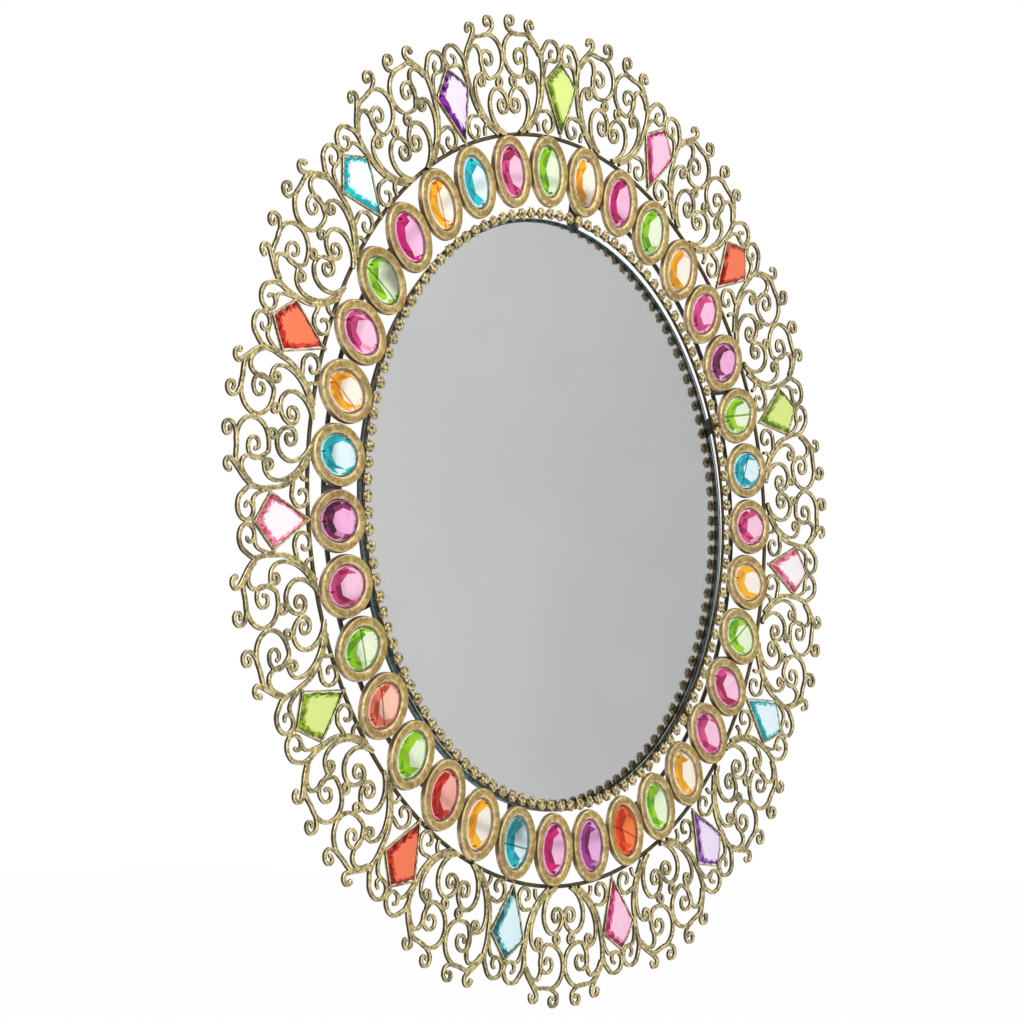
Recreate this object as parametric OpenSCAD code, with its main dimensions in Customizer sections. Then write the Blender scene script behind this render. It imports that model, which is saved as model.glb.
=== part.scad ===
// Round wall mirror with a jewelled brass frame.
// Millimetres. Origin at the centre of the mirror on the wall plane, front towards -Y, +Z up.

/* [Glass and backing] */
// How far the glass reaches outwards behind the ring of beads, from the bead centres
glass_lap = 0.8; // [0:0.2:3]
// How far the glass has settled below the centre of the frame
glass_drop = 4; // [0:0.5:5]
// Thickness of the mirror glass
glass_t = 4; // [3:0.5:6]
// Size of the ground edge round the front of the glass
glass_edge = 0.8; // [0.2:0.1:1.5]
// How far the glass stands out past the backing board all round
glass_over_board = 7; // [3:0.5:12]
// Thickness of the backing board
board_t = 6; // [4:0.5:12]
// Size of the chamfer round the back of the backing board
board_chamfer = 1; // [0.3:0.1:2]
// Free space between the glass and the wire that carries the beads
glass_gap = 0.8; // [0.3:0.1:5]

/* [Bumpers] */
// Height of the rubber bumpers, which is the space between the board and the wall
bumper_t = 6; // [5.5:0.5:12]
// Diameter of a bumper at the board
bumper_d = 18; // [10:1:30]
// Diameter of a bumper at the wall
bumper_face_d = 15; // [8:1:24]
// Distance from the edge of the backing board to the middle of a bumper
bumper_in = 26.3; // [12:0.1:60]

/* [Oval settings] */
// Number of oval settings round the frame
oval_count = 35; // [20:1:35]
// Angle of the first oval setting, clockwise from the top
oval_start = -44.3; // [-60:0.1:60]
// Radius of the circle through the middles of the oval settings
oval_circle_r = 280; // [276:1:300]
// Length of an oval setting, in line with the radius
oval_l = 60; // [52:1:66]
// Width of an oval setting, round the frame
oval_w = 48; // [40:0.5:48.5]
// Radius of the rounded ends of an oval setting
oval_end_r = 20.5; // [16:0.5:22]
// Thickness of an oval setting
oval_t = 3; // [2:0.1:5]
// Length of the opening that holds the stone
oval_seat_l = 43.6; // [36:0.2:46]
// Width of the opening that holds the stone
oval_seat_w = 30; // [22:0.2:34]
// Radius of the rounded ends of the opening that holds the stone
oval_seat_end_r = 10.6; // [8:0.2:12]
// Width of the ledge behind the stone
oval_ledge = 1.6; // [0.8:0.1:3]
// Thickness of the ledge behind the stone
oval_ledge_t = 1; // [0.6:0.1:1.5]

/* [Oval stones] */
// Space between a stone and its opening all round
stone_gap = 0.3; // [0.1:0.1:1]
// Thickness of the straight rim of an oval stone
stone_rim_t = 1.6; // [1:0.1:3]
// Height of the cut facets of an oval stone
stone_crown = 2.8; // [1:0.1:5]
// Width of the cut facets round the flat face of an oval stone
stone_facet_w = 5.2; // [2:0.1:8]
// Number of sides of a cut oval stone
stone_sides = 16; // [10:2:20]

/* [Bead ring] */
// Number of beads on the inner ring
bead_count = 118; // [60:1:125]
// Diameter of a bead, seen from the front
bead_d = 10.4; // [8:0.1:11]
// Thickness of a bead, front to back
bead_t = 6; // [3:0.1:8]
// Diameter of the wire that carries the beads
bead_wire_d = 2.6; // [2:0.1:3.4]
// Space between the wire and the back of a bead
bead_seat_gap = 0.2; // [0.1:0.05:0.3]
// Space between the beads and the ends of the oval settings
bead_setting_gap = 0.3; // [0.2:0.1:1]

/* [Outer ring] */
// Diameter of the outer ring's wire
ring_wire_d = 3.4; // [2.6:0.1:5]
// How far the outer ring's wire lies in front of the wire that carries the beads
ring_forward = 0.4; // [0:0.1:2]
// Space between the outer ring and the pieces seated on it
ring_seat_gap = 0.2; // [0.1:0.05:0.3]

/* [Scroll panels] */
// Number of scroll panels, and of kite stones between them
panel_count = 15; // [10:1:15]
// Angle of the first kite stone, clockwise from the top
kite_start = -24.2; // [-60:0.1:60]
// Height of a scroll panel, outwards from the outer ring's wire
panel_h = 98.5; // [85:0.5:110]
// Thickness of the scrollwork, front to back
scroll_t = 2.8; // [1.6:0.1:4]
// Width of the scrollwork's main straps
strap_w = 3.8; // [2.6:0.1:4]
// Width of the scrollwork's finest curls
curl_w = 2.8; // [2:0.1:3]
// Radius of the brazed fillets where straps meet
braze_r = 0.5; // [0.1:0.1:0.8]
// Space between the scrollwork and the pieces beside it
scroll_gap = 0.3; // [0.2:0.05:0.8]

/* [Kite stones] */
// Distance from the outer ring's wire to the inner tip of a kite stone
kite_tip_gap = 6.2; // [5.5:0.1:10]
// Length of a kite stone from its inner tip to its widest place
kite_tip_l = 38; // [30:0.5:44]
// Length of a kite stone from its widest place to its outer corner
kite_top_l = 17.8; // [12:0.2:22]
// Width of a kite stone
kite_w = 39; // [30:0.5:42]
// Thickness of the straight rim of a kite stone
kite_rim_t = 1.8; // [1:0.1:3]
// Height of the cut facets of a kite stone
kite_crown = 2.6; // [1:0.1:4]
// Width of the cut facets round the flat face of a kite stone
kite_facet_w = 5; // [3:0.1:6]
// Number of cuts along each side of a kite stone
kite_cuts = 4; // [2:1:6]
// How far the sides of a kite stone bow outwards
kite_bow = 0.8; // [0.3:0.1:1.2]
// How far the kite setting stands out past its stone
kite_frame_out = 2.4; // [1.6:0.1:3.5]
// How far the kite setting's ledge reaches in behind its stone
kite_frame_in = 1.4; // [0.8:0.1:3]
// Thickness of the kite setting's ledge
kite_ledge_t = 0.6; // [0.4:0.1:1.5]
// Space between a kite stone and the wall of its setting
kite_gap = 0.25; // [0.1:0.05:0.6]
// How far the kite setting stands in front of the scrollwork
kite_frame_proud = 0.4; // [0:0.1:1.5]

/* [Rear support] */
// How far the rear hoop lies inside the circle through the middles of the oval settings
hoop_in = 4; // [0:0.5:8]
// Diameter of the rear hoop's wire
hoop_wire_d = 4; // [3:0.1:5]
// Space between the rear hoop's wire and the wall
hoop_wall_gap = 3; // [1:0.1:5]
// Number of stand-off posts, set in every fifth space between the oval settings
post_count = 7; // [3:1:7]
// Diameter of a stand-off post
post_d = 7; // [5:0.5:9]
// Number of retaining tabs
tab_count = 6; // [3:1:8]
// Angle of the first retaining tab, clockwise from the top
tab_start = 9.5; // [0:0.5:30]
// Width of a retaining tab
tab_w = 14; // [10:0.5:24]
// Thickness of a retaining tab
tab_t = 1.5; // [1:0.1:2.5]
// How far a retaining tab reaches in over the backing board
tab_reach = 22; // [16:1:40]
// Distance from the inner end of a retaining tab to its screw
tab_screw_in = 8; // [6:0.5:10]

/* [Hangers] */
// Distance between the two hangers
hanger_span = 300; // [180:1:360]
// Height from the hanger pivots up to the level of the backing board's top edge
hanger_drop = 118.3; // [98:0.1:178]
// Thickness of a hanger strap
strap_t = 1.2; // [0.8:0.1:1.5]
// Width of a hanger strap
strap_plate_w = 13; // [11:0.5:16]
// Length of the flat part of a hanger strap
strap_plate_l = 36; // [30:1:60]
// Distance from the lower end of a hanger strap to its lower screw
strap_hole_in = 7; // [5:0.5:10]
// Distance between the two screws of a hanger strap
strap_hole_gap = 17; // [8:0.5:18]
// Diameter of the wire of a D-ring
dring_wire_d = 2.4; // [2:0.1:2.6]
// Width of a D-ring between the middles of its legs
dring_w = 22; // [20:0.5:30]
// Length of the straight legs of a D-ring
dring_leg = 6; // [3:0.5:12]
// Space between a D-ring and the loop that it turns in
dring_gap = 0.1; // [0.05:0.05:0.2]
// Wall of the loop that the D-ring turns in
loop_wall = 1; // [0.8:0.1:1.2]
// Space between the D-ring, when it hangs down, and the hanger strap
dring_lift = 0.35; // [0.3:0.05:0.6]

/* [Screws] */
// Diameter of a wood screw's shank
screw_d = 2.8; // [2:0.1:3.5]
// Length of a wood screw's shank in the board
screw_l = 4; // [3:0.1:5]
// Diameter of a screw head
screw_head_d = 6; // [5:0.1:7]
// Height of the round head of a tab screw
screw_head_t = 1.8; // [1:0.1:2.4]
// Space between a screw and its pilot hole
pilot_gap = 0.05; // [0.02:0.01:0.1]
// Space between a screw and the clearance hole that it passes through
screw_clear = 0.25; // [0.1:0.05:0.5]

/* [Hidden] */
$fn = 96;
stone_colours = ["magenta", "amber", "cyan", "pink", "lime", "red", "salmon", "plum", "orchid"];
// Colours of the oval stones, clockwise from the first setting
oval_order = [
    "magenta", "amber", "cyan", "pink", "lime", "amber", "magenta",
    "lime", "amber", "pink", "plum", "lime", "cyan", "pink",
    "amber", "lime", "pink", "pink", "amber", "lime", "red",
    "orchid", "magenta", "cyan", "amber", "red", "lime", "salmon",
    "lime", "pink", "plum", "cyan", "amber", "pink", "lime"
];
// Colours of the kite stones, clockwise from the first one
kite_order = [
    "plum", "lime", "pink", "red", "lime", "rose", "cyan", "lilac",
    "pink", "aqua", "red", "lime", "rose", "red", "cyan"
];
// Degrees by which each kite was set round clockwise, by hand, from its even place
kite_turn = [0.6, 0.4, 0, -0.4, -0.1, -0.5, -1, -1.1, -0.9, -0.3, -0.5, 0.3, 0.9, 1.2, 0.9];
// Display colours that go with the names above
tints = [
    ["magenta", [0.72, 0.06, 0.36]], ["amber", [0.93, 0.60, 0.12]], ["cyan", [0.16, 0.72, 0.78]],
    ["pink", [0.93, 0.40, 0.62]], ["lime", [0.62, 0.80, 0.14]], ["red", [0.88, 0.26, 0.12]],
    ["salmon", [0.95, 0.52, 0.40]], ["plum", [0.50, 0.12, 0.42]], ["orchid", [0.78, 0.42, 0.76]],
    ["rose", [0.97, 0.74, 0.80]], ["lilac", [0.76, 0.66, 0.86]], ["aqua", [0.50, 0.84, 0.82]]
];
setting_groups = 5;
function two_digits(i) = i < 10 ? str("0", i) : str(i);
function panel_name(i) = str("scroll_panel_", two_digits(i));
function kite_name(i) = str("kite_stone_", two_digits(i));
function group_name(g) = str("oval_settings_", two_digits(g));
function tint(name) = tints[search([name], tints)[0]][1];

// Depths, as distances in front of the wall
board_back = bumper_t;
board_front = board_back + board_t;
glass_front = board_front + glass_t;
bead_wire_plane = glass_front + glass_gap + bead_wire_d / 2;
bead_plane = bead_wire_plane + bead_wire_d / 2 + bead_seat_gap + bead_t / 2;
ring_plane = bead_wire_plane + ring_forward;
setting_back = ring_plane + ring_wire_d / 2 + ring_seat_gap;
setting_front = setting_back + oval_t;
scroll_back = setting_back;
scroll_front = scroll_back + scroll_t;
kite_back = scroll_back + kite_ledge_t;
hoop_plane = hoop_wall_gap + hoop_wire_d / 2;

// Radii
outer_ring_r = oval_circle_r + oval_l / 2;
bead_ring_r = oval_circle_r - oval_l / 2 - bead_setting_gap - bead_d / 2;
glass_r = bead_ring_r + glass_lap;
board_r = glass_r - glass_over_board;
bumper_circle_r = board_r - bumper_in;
hoop_r = oval_circle_r - hoop_in;
panel_foot_r = outer_ring_r + scroll_gap;
kite_tip_r = outer_ring_r + kite_tip_gap;
kite_wide_r = kite_tip_r + kite_tip_l;
kite_top_r = kite_wide_r + kite_top_l;
oval_step = 360 / oval_count;
kite_step = 360 / panel_count;
post_step = floor(oval_count / post_count);
tab_inner_r = board_r - tab_reach;
tab_outer_r = hoop_r - hoop_wire_d / 2 - scroll_gap;
tab_screw_r = tab_inner_r + tab_screw_in;

// Hanger
loop_bore_r = dring_wire_d / 2 + dring_gap;
loop_r = loop_bore_r + loop_wall;
pivot_plane = board_back - strap_t - dring_lift - dring_wire_d / 2;
hanger_z = board_r - hanger_drop;
strap_holes = [strap_plate_l - strap_hole_in - strap_hole_gap, strap_plate_l - strap_hole_in];

// Points of an arc or a spiral: from radius r0 at angle a0 to radius r1 at angle a1, in n steps
function turn(c, r0, r1, a0, a1, n) = [
    for (i = [0:n])
        let (r = r0 + (r1 - r0) * i / n, a = a0 + (a1 - a0) * i / n)
            c + r * [cos(a), sin(a)]
];

function unit(v) = v / norm(v);

// Direction of a centreline at its point i
function heading(p, i) =
    i == 0 ? unit(p[1] - p[0])
    : i == len(p) - 1 ? unit(p[i] - p[i - 1])
    : unit(unit(p[i] - p[i - 1]) + unit(p[i + 1] - p[i]));

// One side of a strap that tapers from width w0 to width w1
function strap_side(p, w0, w1, side) = [
    for (i = [0:len(p) - 1])
        let (h = heading(p, i), w = w0 + (w1 - w0) * i / (len(p) - 1))
            p[i] + side * w / 2 * [-h[1], h[0]]
];

function reversed(p) = [for (i = [len(p) - 1:-1:0]) p[i]];

// A tapered strap along a centreline, with a forged round end
module strap(p, w0, w1) {
    polygon(concat(strap_side(p, w0, w1, 1), reversed(strap_side(p, w0, w1, -1))));
    translate(p[len(p) - 1])
        circle(d = w1 * 1.15, $fn = 8);
}

// Angle of kite i, clockwise from the top
function kite_angle(i) = kite_start + (i - 1) * kite_step + kite_turn[(i - 1) % len(kite_turn)];

// Centrelines of the right half of a scroll panel.
// x is measured from the panel's axis and y outwards from the outer ring's wire.
// They are drawn for a ring, a half angle, a shoulder beside the kite and a height of these sizes.
drawn_ring_r = 310;
drawn_half = 12;
drawn_shoulder = 42.5;
drawn_h = 97.5;
// Distance from the axis to the centrelines of the straps that meet on it
drawn_meet = 1.3;
bracket = concat(
    [[20, 1.5], [31, 9], [40.5, 18.5], [46.6, 29], [49.2, 39.5], [51.4, 50], [51.2, 60]],
    [[47.6, 68.6], [42.2, 76], [37.6, 82.4]],
    turn([40.7, 86.4], 4.6, 3.6, 185, -10, 5)
);
heart = [
    [12.5, 1.2], [21.5, 5.6], [31, 12.2], [38.2, 21], [42.4, 31.5],
    [42.2, 40.5], [38.2, 46.8], [31.5, 49.4]
];
arch = concat(
    [[49.4, 61.5], [45.2, 68.6], [39.8, 72.6], [34.4, 72.4], [30.8, 67.5], [29.6, 59], [29.8, 50.5]],
    turn([33.2, 43], 4.2, 2, 160, 450, 7)
);
big_scroll = concat(
    [[41.8, 75.6], [35.8, 79.6]],
    turn([19.5, 63.2], 18.2, 18.2, 70, 285, 10),
    turn([21.6, 60.2], 10, 2.6, -35, 350, 10)
);
crest_curl = concat(
    [[22, 80.2], [15.5, 82.6], [10.8, 86]],
    turn([15.8, 91], 6.2, 1.9, 185, -130, 9)
);
link_curl = concat(
    [[13.5, 46.6]],
    turn([10.2, 41.3], 4.2, 2, 130, 430, 7)
);
small_heart = concat(
    [[9.5, 0.8], [17, 5], [23.4, 12.6], [26, 22.5], [23.4, 31.2], [17, 36.2], [9.8, 36], [4, 31.4]],
    turn([8.9, 23.6], 7.6, 2.4, 172, 560, 10)
);
foot_curl = concat(
    [[38.6, 16.6]],
    turn([48.8, 5.9], 11.6, 2.6, 116, -250, 9)
);
foot_strut = [[32.6, 10], [36.2, 6], [36.6, -1.5]];
horn = concat(
    [[51.4, 55], [53.4, 63]],
    turn([68.8, 62.4], 12.8, 2.6, 156, -245, 11)
);
horn_brace = [[67, 56.2], [61, 57], [56.4, 52.8], [53.2, 46.5], [50.6, 40]];

// A drawn height stretched to the real shoulder and the real height of the panels
function stretched(y) =
    let (shoulder = kite_wide_r - outer_ring_r)
        y < drawn_shoulder ? y * shoulder / drawn_shoulder
        : shoulder + (y - drawn_shoulder) * (panel_h - shoulder) / (drawn_h - drawn_shoulder);

// A drawn centreline fanned out to fill a panel that is half degrees wide on each side.
// The straps that meet on the axis go on meeting there.
function fanned(p, half) = [
    for (q = p)
        let (
            y = stretched(q[1]),
            fan = tan(half) / tan(drawn_half) * (outer_ring_r + y) / (drawn_ring_r + q[1])
        )
            [drawn_meet + (q[0] - drawn_meet) * fan, y]
];

// Right half of a scroll panel, y measured from the frame's centre
module half_panel(half) {
    translate([0, outer_ring_r]) {
        strap(fanned(bracket, half), strap_w, strap_w);
        strap(fanned(heart, half), strap_w - 0.2, curl_w);
        strap(fanned(arch, half), strap_w - 0.4, curl_w);
        strap(fanned(big_scroll, half), strap_w - 0.2, curl_w);
        strap(fanned(crest_curl, half), curl_w + 0.2, curl_w);
        strap(fanned(link_curl, half), curl_w, curl_w - 0.2);
        strap(fanned(small_heart, half), strap_w - 0.3, curl_w);
        strap(fanned(foot_curl, half), curl_w + 0.3, curl_w - 0.2);
        strap(fanned(foot_strut, half), curl_w, curl_w);
        strap(fanned(horn, half), strap_w - 0.2, curl_w);
        strap(fanned(horn_brace, half), curl_w, curl_w);
    }
}

// Outline of a kite stone, grown by g all round, on the top of the frame
function kite_corners(g) =
    let (
        half = kite_w / 2,
        low = atan2(half, kite_wide_r - kite_tip_r),
        high = atan2(half, kite_top_r - kite_wide_r),
        tip = kite_tip_r - g / sin(low),
        top = kite_top_r + g / sin(high),
        wide = (tip * tan(low) + top * tan(high)) / (tan(low) + tan(high))
    )
    [[0, tip], [(wide - tip) * tan(low), wide], [0, top], [-(wide - tip) * tan(low), wide]];

// A ring on the frame, lying in the XZ plane at a depth in front of the wall
module hoop(r, d, depth) {
    translate([0, -depth, 0])
        rotate([90, 0, 0])
            rotate_extrude($fn = 180)
                translate([r, 0])
                    circle(d = d, $fn = 32);
}

// Turns a flat outline into a plate from depth d0 to depth d1 in front of the wall
module plate(d0, d1) {
    translate([0, -d0, 0])
        rotate([90, 0, 0])
            linear_extrude(d1 - d0)
                children();
}

// Places children, made at the top of the frame, at a clockwise angle
module at_angle(a) {
    rotate([0, a, 0])
        children();
}

// A round peg from depth d0 to depth d1 in front of the wall
module peg(x, z, d, d0, d1) {
    translate([x, -d0, z])
        rotate([90, 0, 0])
            cylinder(d = d, h = d1 - d0);
}

// A closed stone from rings of points [x, z] at depths, the first and last ring flat
module cut_stone(rings, depths) {
    n = len(rings[0]);
    m = len(rings);
    points = [for (k = [0:m - 1]) for (p = rings[k]) [p[0], -depths[k], p[1]]];
    back = [[for (i = [0:n - 1]) i]];
    front = [[for (i = [n - 1:-1:0]) (m - 1) * n + i]];
    sides = [
        for (k = [0:m - 2])
            for (i = [0:n - 1])
                let (a = k * n + i, b = k * n + (i + 1) % n)
                    for (f = [[a, a + n, b], [b, a + n, b + n]]) f
    ];
    polyhedron(points, concat(back, front, sides));
}

// Points of an oval on the top of the frame
function oval(l, w, n, phase) = [
    for (i = [0:n - 1])
        let (a = -360 * (i + phase) / n)
            [w / 2 * cos(a), oval_circle_r + l / 2 * sin(a)]
];

module oval_stone() {
    l = oval_seat_l - 2 * stone_gap;
    w = oval_seat_w - 2 * stone_gap;
    back = setting_back + oval_ledge_t;
    rim = oval(l, w, stone_sides, 0.5);
    face = oval(l - 2 * stone_facet_w, w - 2 * stone_facet_w, stone_sides, 0.5);
    cut_stone([rim, rim, face], [back, back + stone_rim_t, back + stone_rim_t + stone_crown]);
}

module oval_stones(name) {
    color(tint(name))
        for (i = [0:oval_count - 1])
            if (oval_order[i % len(oval_order)] == name)
                at_angle(oval_start + i * oval_step)
                    oval_stone();
}

// An oval of four arcs, long in y, whose ends have the radius r
module oval_outline(l, w, r) {
    a = l / 2;
    b = w / 2;
    side_r = (a * a + b * b - 2 * a * r) / (2 * (b - r));
    turn_y = (a - r) * side_r / (side_r - r);
    intersection() {
        translate([b - side_r, 0])
            circle(r = side_r);
        translate([side_r - b, 0])
            circle(r = side_r);
        square([l, 2 * turn_y], center = true);
    }
    for (side = [-1, 1])
        intersection() {
            translate([0, side * (a - r)])
                circle(r = r);
            translate([0, side * (turn_y + a)])
                square([l, l], center = true);
        }
}

module oval_setting() {
    translate([0, 0, oval_circle_r]) {
        plate(setting_back, setting_back + oval_ledge_t)
            difference() {
                oval_outline(oval_l, oval_w, oval_end_r);
                oval_outline(
                    oval_seat_l - 2 * oval_ledge, oval_seat_w - 2 * oval_ledge,
                    oval_seat_end_r - oval_ledge
                );
            }
        plate(setting_back + oval_ledge_t, setting_front)
            difference() {
                oval_outline(oval_l, oval_w, oval_end_r);
                oval_outline(oval_seat_l, oval_seat_w, oval_seat_end_r);
            }
    }
}

module oval_settings(g) {
    first = ceil((g - 1) * oval_count / setting_groups);
    last = ceil(g * oval_count / setting_groups) - 1;
    color("darkgoldenrod")
        for (i = [first:last])
            at_angle(oval_start + i * oval_step)
                oval_setting();
}

// Points round the edge of a kite grown by g, its sides bowed outwards, begun at a share of one cut
function kite_edge(g, start) = [
    for (s = [3:-1:0])
        for (i = [0:kite_cuts - 1])
            let (
                c = kite_corners(g),
                t = (i + start) / kite_cuts,
                p = c[(s + 1) % 4] + (c[s] - c[(s + 1) % 4]) * t
            )
                p + 4 * kite_bow * t * (1 - t) * unit(p - [0, kite_wide_r])
];

module kite_stone() {
    rim = kite_edge(0, 0);
    face = kite_edge(-kite_facet_w, 0.5);
    cut_stone(
        [rim, rim, face],
        [kite_back, kite_back + kite_rim_t, kite_back + kite_rim_t + kite_crown]
    );
}

module kite(i) {
    color(tint(kite_order[(i - 1) % len(kite_order)]))
        at_angle(kite_angle(i))
            kite_stone();
}

// A frame round a kite stone, with an opening grown by g, clear of the oval settings
module kite_frame(g, d0, d1) {
    plate(d0, d1)
        difference() {
            polygon(kite_corners(kite_frame_out));
            polygon(kite_corners(g));
            circle(r = panel_foot_r, $fn = 360);
        }
}

// The ledge that the stone rests on, and the wall round it, clear of the stone's bowed sides
module kite_setting() {
    kite_frame(-kite_frame_in, scroll_back, kite_back);
    kite_frame(kite_bow + kite_gap, kite_back, scroll_front + kite_frame_proud);
}

module kite_settings() {
    color("goldenrod")
        for (i = [1:panel_count])
            at_angle(kite_angle(i))
                kite_setting();
}

module scroll_panel(i) {
    half = (kite_angle(i + 1) - kite_angle(i)) / 2;
    color("darkkhaki")
        at_angle(kite_angle(i) + half)
            plate(scroll_back, scroll_front)
                difference() {
                    offset(delta = -braze_r)
                        offset(delta = braze_r) {
                            half_panel(half);
                            mirror([1, 0])
                                half_panel(half);
                        }
                    circle(r = panel_foot_r, $fn = 360);
                    for (side = [-1, 1])
                        rotate(side * half)
                            polygon(kite_corners(kite_frame_out + scroll_gap));
                }
}

module mirror_glass() {
    color("silver")
        translate([0, -board_front, -glass_drop])
            rotate([90, 0, 0]) {
                cylinder(r = glass_r, h = glass_t - glass_edge);
                translate([0, 0, glass_t - glass_edge])
                    cylinder(r1 = glass_r, r2 = glass_r - glass_edge, h = glass_edge);
            }
}

// Places children at each screw of the retaining tabs
module each_tab() {
    for (i = [0:tab_count - 1])
        at_angle(tab_start + i * 360 / tab_count)
            children();
}

// Places children at each screw of the two hanger straps
module each_strap_hole() {
    for (side = [-1, 1])
        for (h = strap_holes)
            translate([side * hanger_span / 2, 0, hanger_z - h])
                children();
}

module backing_board() {
    past = 1;
    color("saddlebrown")
        difference() {
            translate([0, -board_back, -glass_drop])
                rotate([90, 0, 0]) {
                    cylinder(r1 = board_r - board_chamfer, r2 = board_r, h = board_chamfer);
                    translate([0, 0, board_chamfer])
                        cylinder(r = board_r, h = board_t - board_chamfer);
                }
            each_tab()
                peg(0, tab_screw_r, screw_d + 2 * pilot_gap, board_back - past, board_back + screw_l + pilot_gap);
            each_strap_hole()
                peg(0, 0, screw_d + 2 * pilot_gap, board_back - past, board_back + screw_l + pilot_gap);
        }
}

module bumpers() {
    color("dimgray")
        for (a = [45:90:315])
            at_angle(a)
                translate([0, -bumper_t, bumper_circle_r])
                    rotate([-90, 0, 0])
                        cylinder(d1 = bumper_d, d2 = bumper_face_d, h = bumper_t);
}

module bead_wire() {
    color("darkgoldenrod")
        hoop(bead_ring_r, bead_wire_d, bead_wire_plane);
}

module bead() {
    facets = 8;
    profile = [
        for (i = [0:facets])
            let (a = -90 + 180 * i / facets)
                [bead_d / 2 * cos(a), bead_t / 2 * sin(a)]
    ];
    translate([0, -bead_plane, bead_ring_r])
        rotate([90, 0, 0])
            rotate_extrude($fn = 40)
                polygon(profile);
}

module beads() {
    color("goldenrod")
        for (i = [0:bead_count - 1])
            at_angle(i * 360 / bead_count)
                bead();
}

module outer_ring() {
    color("darkgoldenrod")
        hoop(outer_ring_r, ring_wire_d, ring_plane);
}

module rear_hoop() {
    color("dimgray")
        hoop(hoop_r, hoop_wire_d, hoop_plane);
}

module standoff_posts() {
    color("dimgray")
        for (i = [0:post_count - 1])
            at_angle(oval_start + (i * post_step + 0.5) * oval_step)
                peg(0, hoop_r, post_d, hoop_plane + hoop_wire_d / 2 + ring_seat_gap, setting_back);
}

module retaining_tabs() {
    color("dimgray")
        each_tab()
            difference() {
                translate([-tab_w / 2, -board_back, tab_inner_r])
                    cube([tab_w, tab_t, tab_outer_r - tab_inner_r]);
                peg(0, tab_screw_r, screw_d + 2 * screw_clear, 0, board_back + 1);
            }
}

module tab_screw() {
    peg(0, tab_screw_r, screw_d, board_back - tab_t, board_back + screw_l);
    peg(0, tab_screw_r, screw_head_d, board_back - tab_t - screw_head_t, board_back - tab_t);
}

// A countersunk screw whose head lies flush in the strap
module flush_screw() {
    peg(0, 0, screw_d, board_back, board_back + screw_l);
    translate([0, -board_back + strap_t, 0])
        rotate([90, 0, 0])
            cylinder(d1 = screw_head_d, d2 = screw_d, h = strap_t);
}

module board_screws() {
    color("lightgray") {
        each_tab()
            tab_screw();
        each_strap_hole()
            flush_screw();
    }
}

module hanger_strap() {
    past = 1;
    countersink = screw_head_d + 2 * screw_clear;
    difference() {
        union() {
            translate([-strap_plate_w / 2, -board_back, -strap_plate_l])
                cube([strap_plate_w, strap_t, strap_plate_l]);
            translate([0, -pivot_plane, 0])
                rotate([0, 90, 0])
                    cylinder(r = loop_r, h = strap_plate_w, center = true);
        }
        translate([0, -pivot_plane, 0])
            rotate([0, 90, 0])
                cylinder(r = loop_bore_r, h = strap_plate_w + 2 * past, center = true);
        for (h = strap_holes)
            translate([0, -board_back + strap_t, -h])
                rotate([90, 0, 0])
                    cylinder(d1 = countersink, d2 = countersink - screw_head_d + screw_d, h = strap_t);
    }
}

module d_ring() {
    r = dring_w / 2;
    translate([0, -pivot_plane, 0]) {
        rotate([0, 90, 0])
            cylinder(d = dring_wire_d, h = dring_w, center = true);
        for (side = [-1, 1])
            translate([side * r, 0, -dring_leg])
                cylinder(d = dring_wire_d, h = dring_leg);
        translate([0, 0, -dring_leg])
            rotate([90, 0, 0])
                rotate([0, 0, 180])
                    rotate_extrude(angle = 180)
                        translate([r, 0])
                            circle(d = dring_wire_d, $fn = 32);
    }
}

module hanger_place(side) {
    translate([side * hanger_span / 2, 0, hanger_z])
        children();
}

mirror_glass();
backing_board();
bumpers();
bead_wire();
beads();
outer_ring();
for (g = [1:setting_groups]) oval_settings(g);
for (c = stone_colours) oval_stones(c);
for (i = [1:panel_count]) scroll_panel(i);
kite_settings();
for (i = [1:panel_count]) kite(i);
rear_hoop();
standoff_posts();
retaining_tabs();
board_screws();
color("gainsboro") hanger_place(-1) hanger_strap();  // hanger_strap_left
color("gainsboro") hanger_place(1) hanger_strap();  // hanger_strap_right
color("gainsboro") hanger_place(-1) d_ring();  // d_ring_left
color("gainsboro") hanger_place(1) d_ring();  // d_ring_right
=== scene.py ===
import math
import random

import bmesh
import bpy
from mathutils import Matrix, Vector, noise


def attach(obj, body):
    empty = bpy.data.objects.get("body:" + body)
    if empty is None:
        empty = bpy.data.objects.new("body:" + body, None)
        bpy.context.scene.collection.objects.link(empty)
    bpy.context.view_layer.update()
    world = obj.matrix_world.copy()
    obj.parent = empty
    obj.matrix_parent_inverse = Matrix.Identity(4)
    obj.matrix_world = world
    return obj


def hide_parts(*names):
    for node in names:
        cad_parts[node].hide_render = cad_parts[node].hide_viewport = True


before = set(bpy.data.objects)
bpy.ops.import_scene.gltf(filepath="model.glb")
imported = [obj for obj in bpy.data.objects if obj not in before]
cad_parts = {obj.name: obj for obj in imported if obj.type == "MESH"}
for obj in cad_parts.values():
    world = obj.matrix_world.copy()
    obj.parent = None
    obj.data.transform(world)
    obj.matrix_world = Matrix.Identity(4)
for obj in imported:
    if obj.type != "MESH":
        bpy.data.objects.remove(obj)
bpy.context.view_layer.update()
mm = 0.001
noise.seed_set(5)  # without a seed of its own, noise_vector starts from the clock
print("frame loaded")


# Small tools that every piece uses

def clamped(value):
    return min(max(value, 0.0), 1.0)


def ofKind(items, kind):
    return [item for item in items if isinstance(item, kind)]


def newObject(name, data):
    made = bpy.data.objects.new(name, data)
    bpy.context.scene.collection.objects.link(made)
    return made


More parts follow.
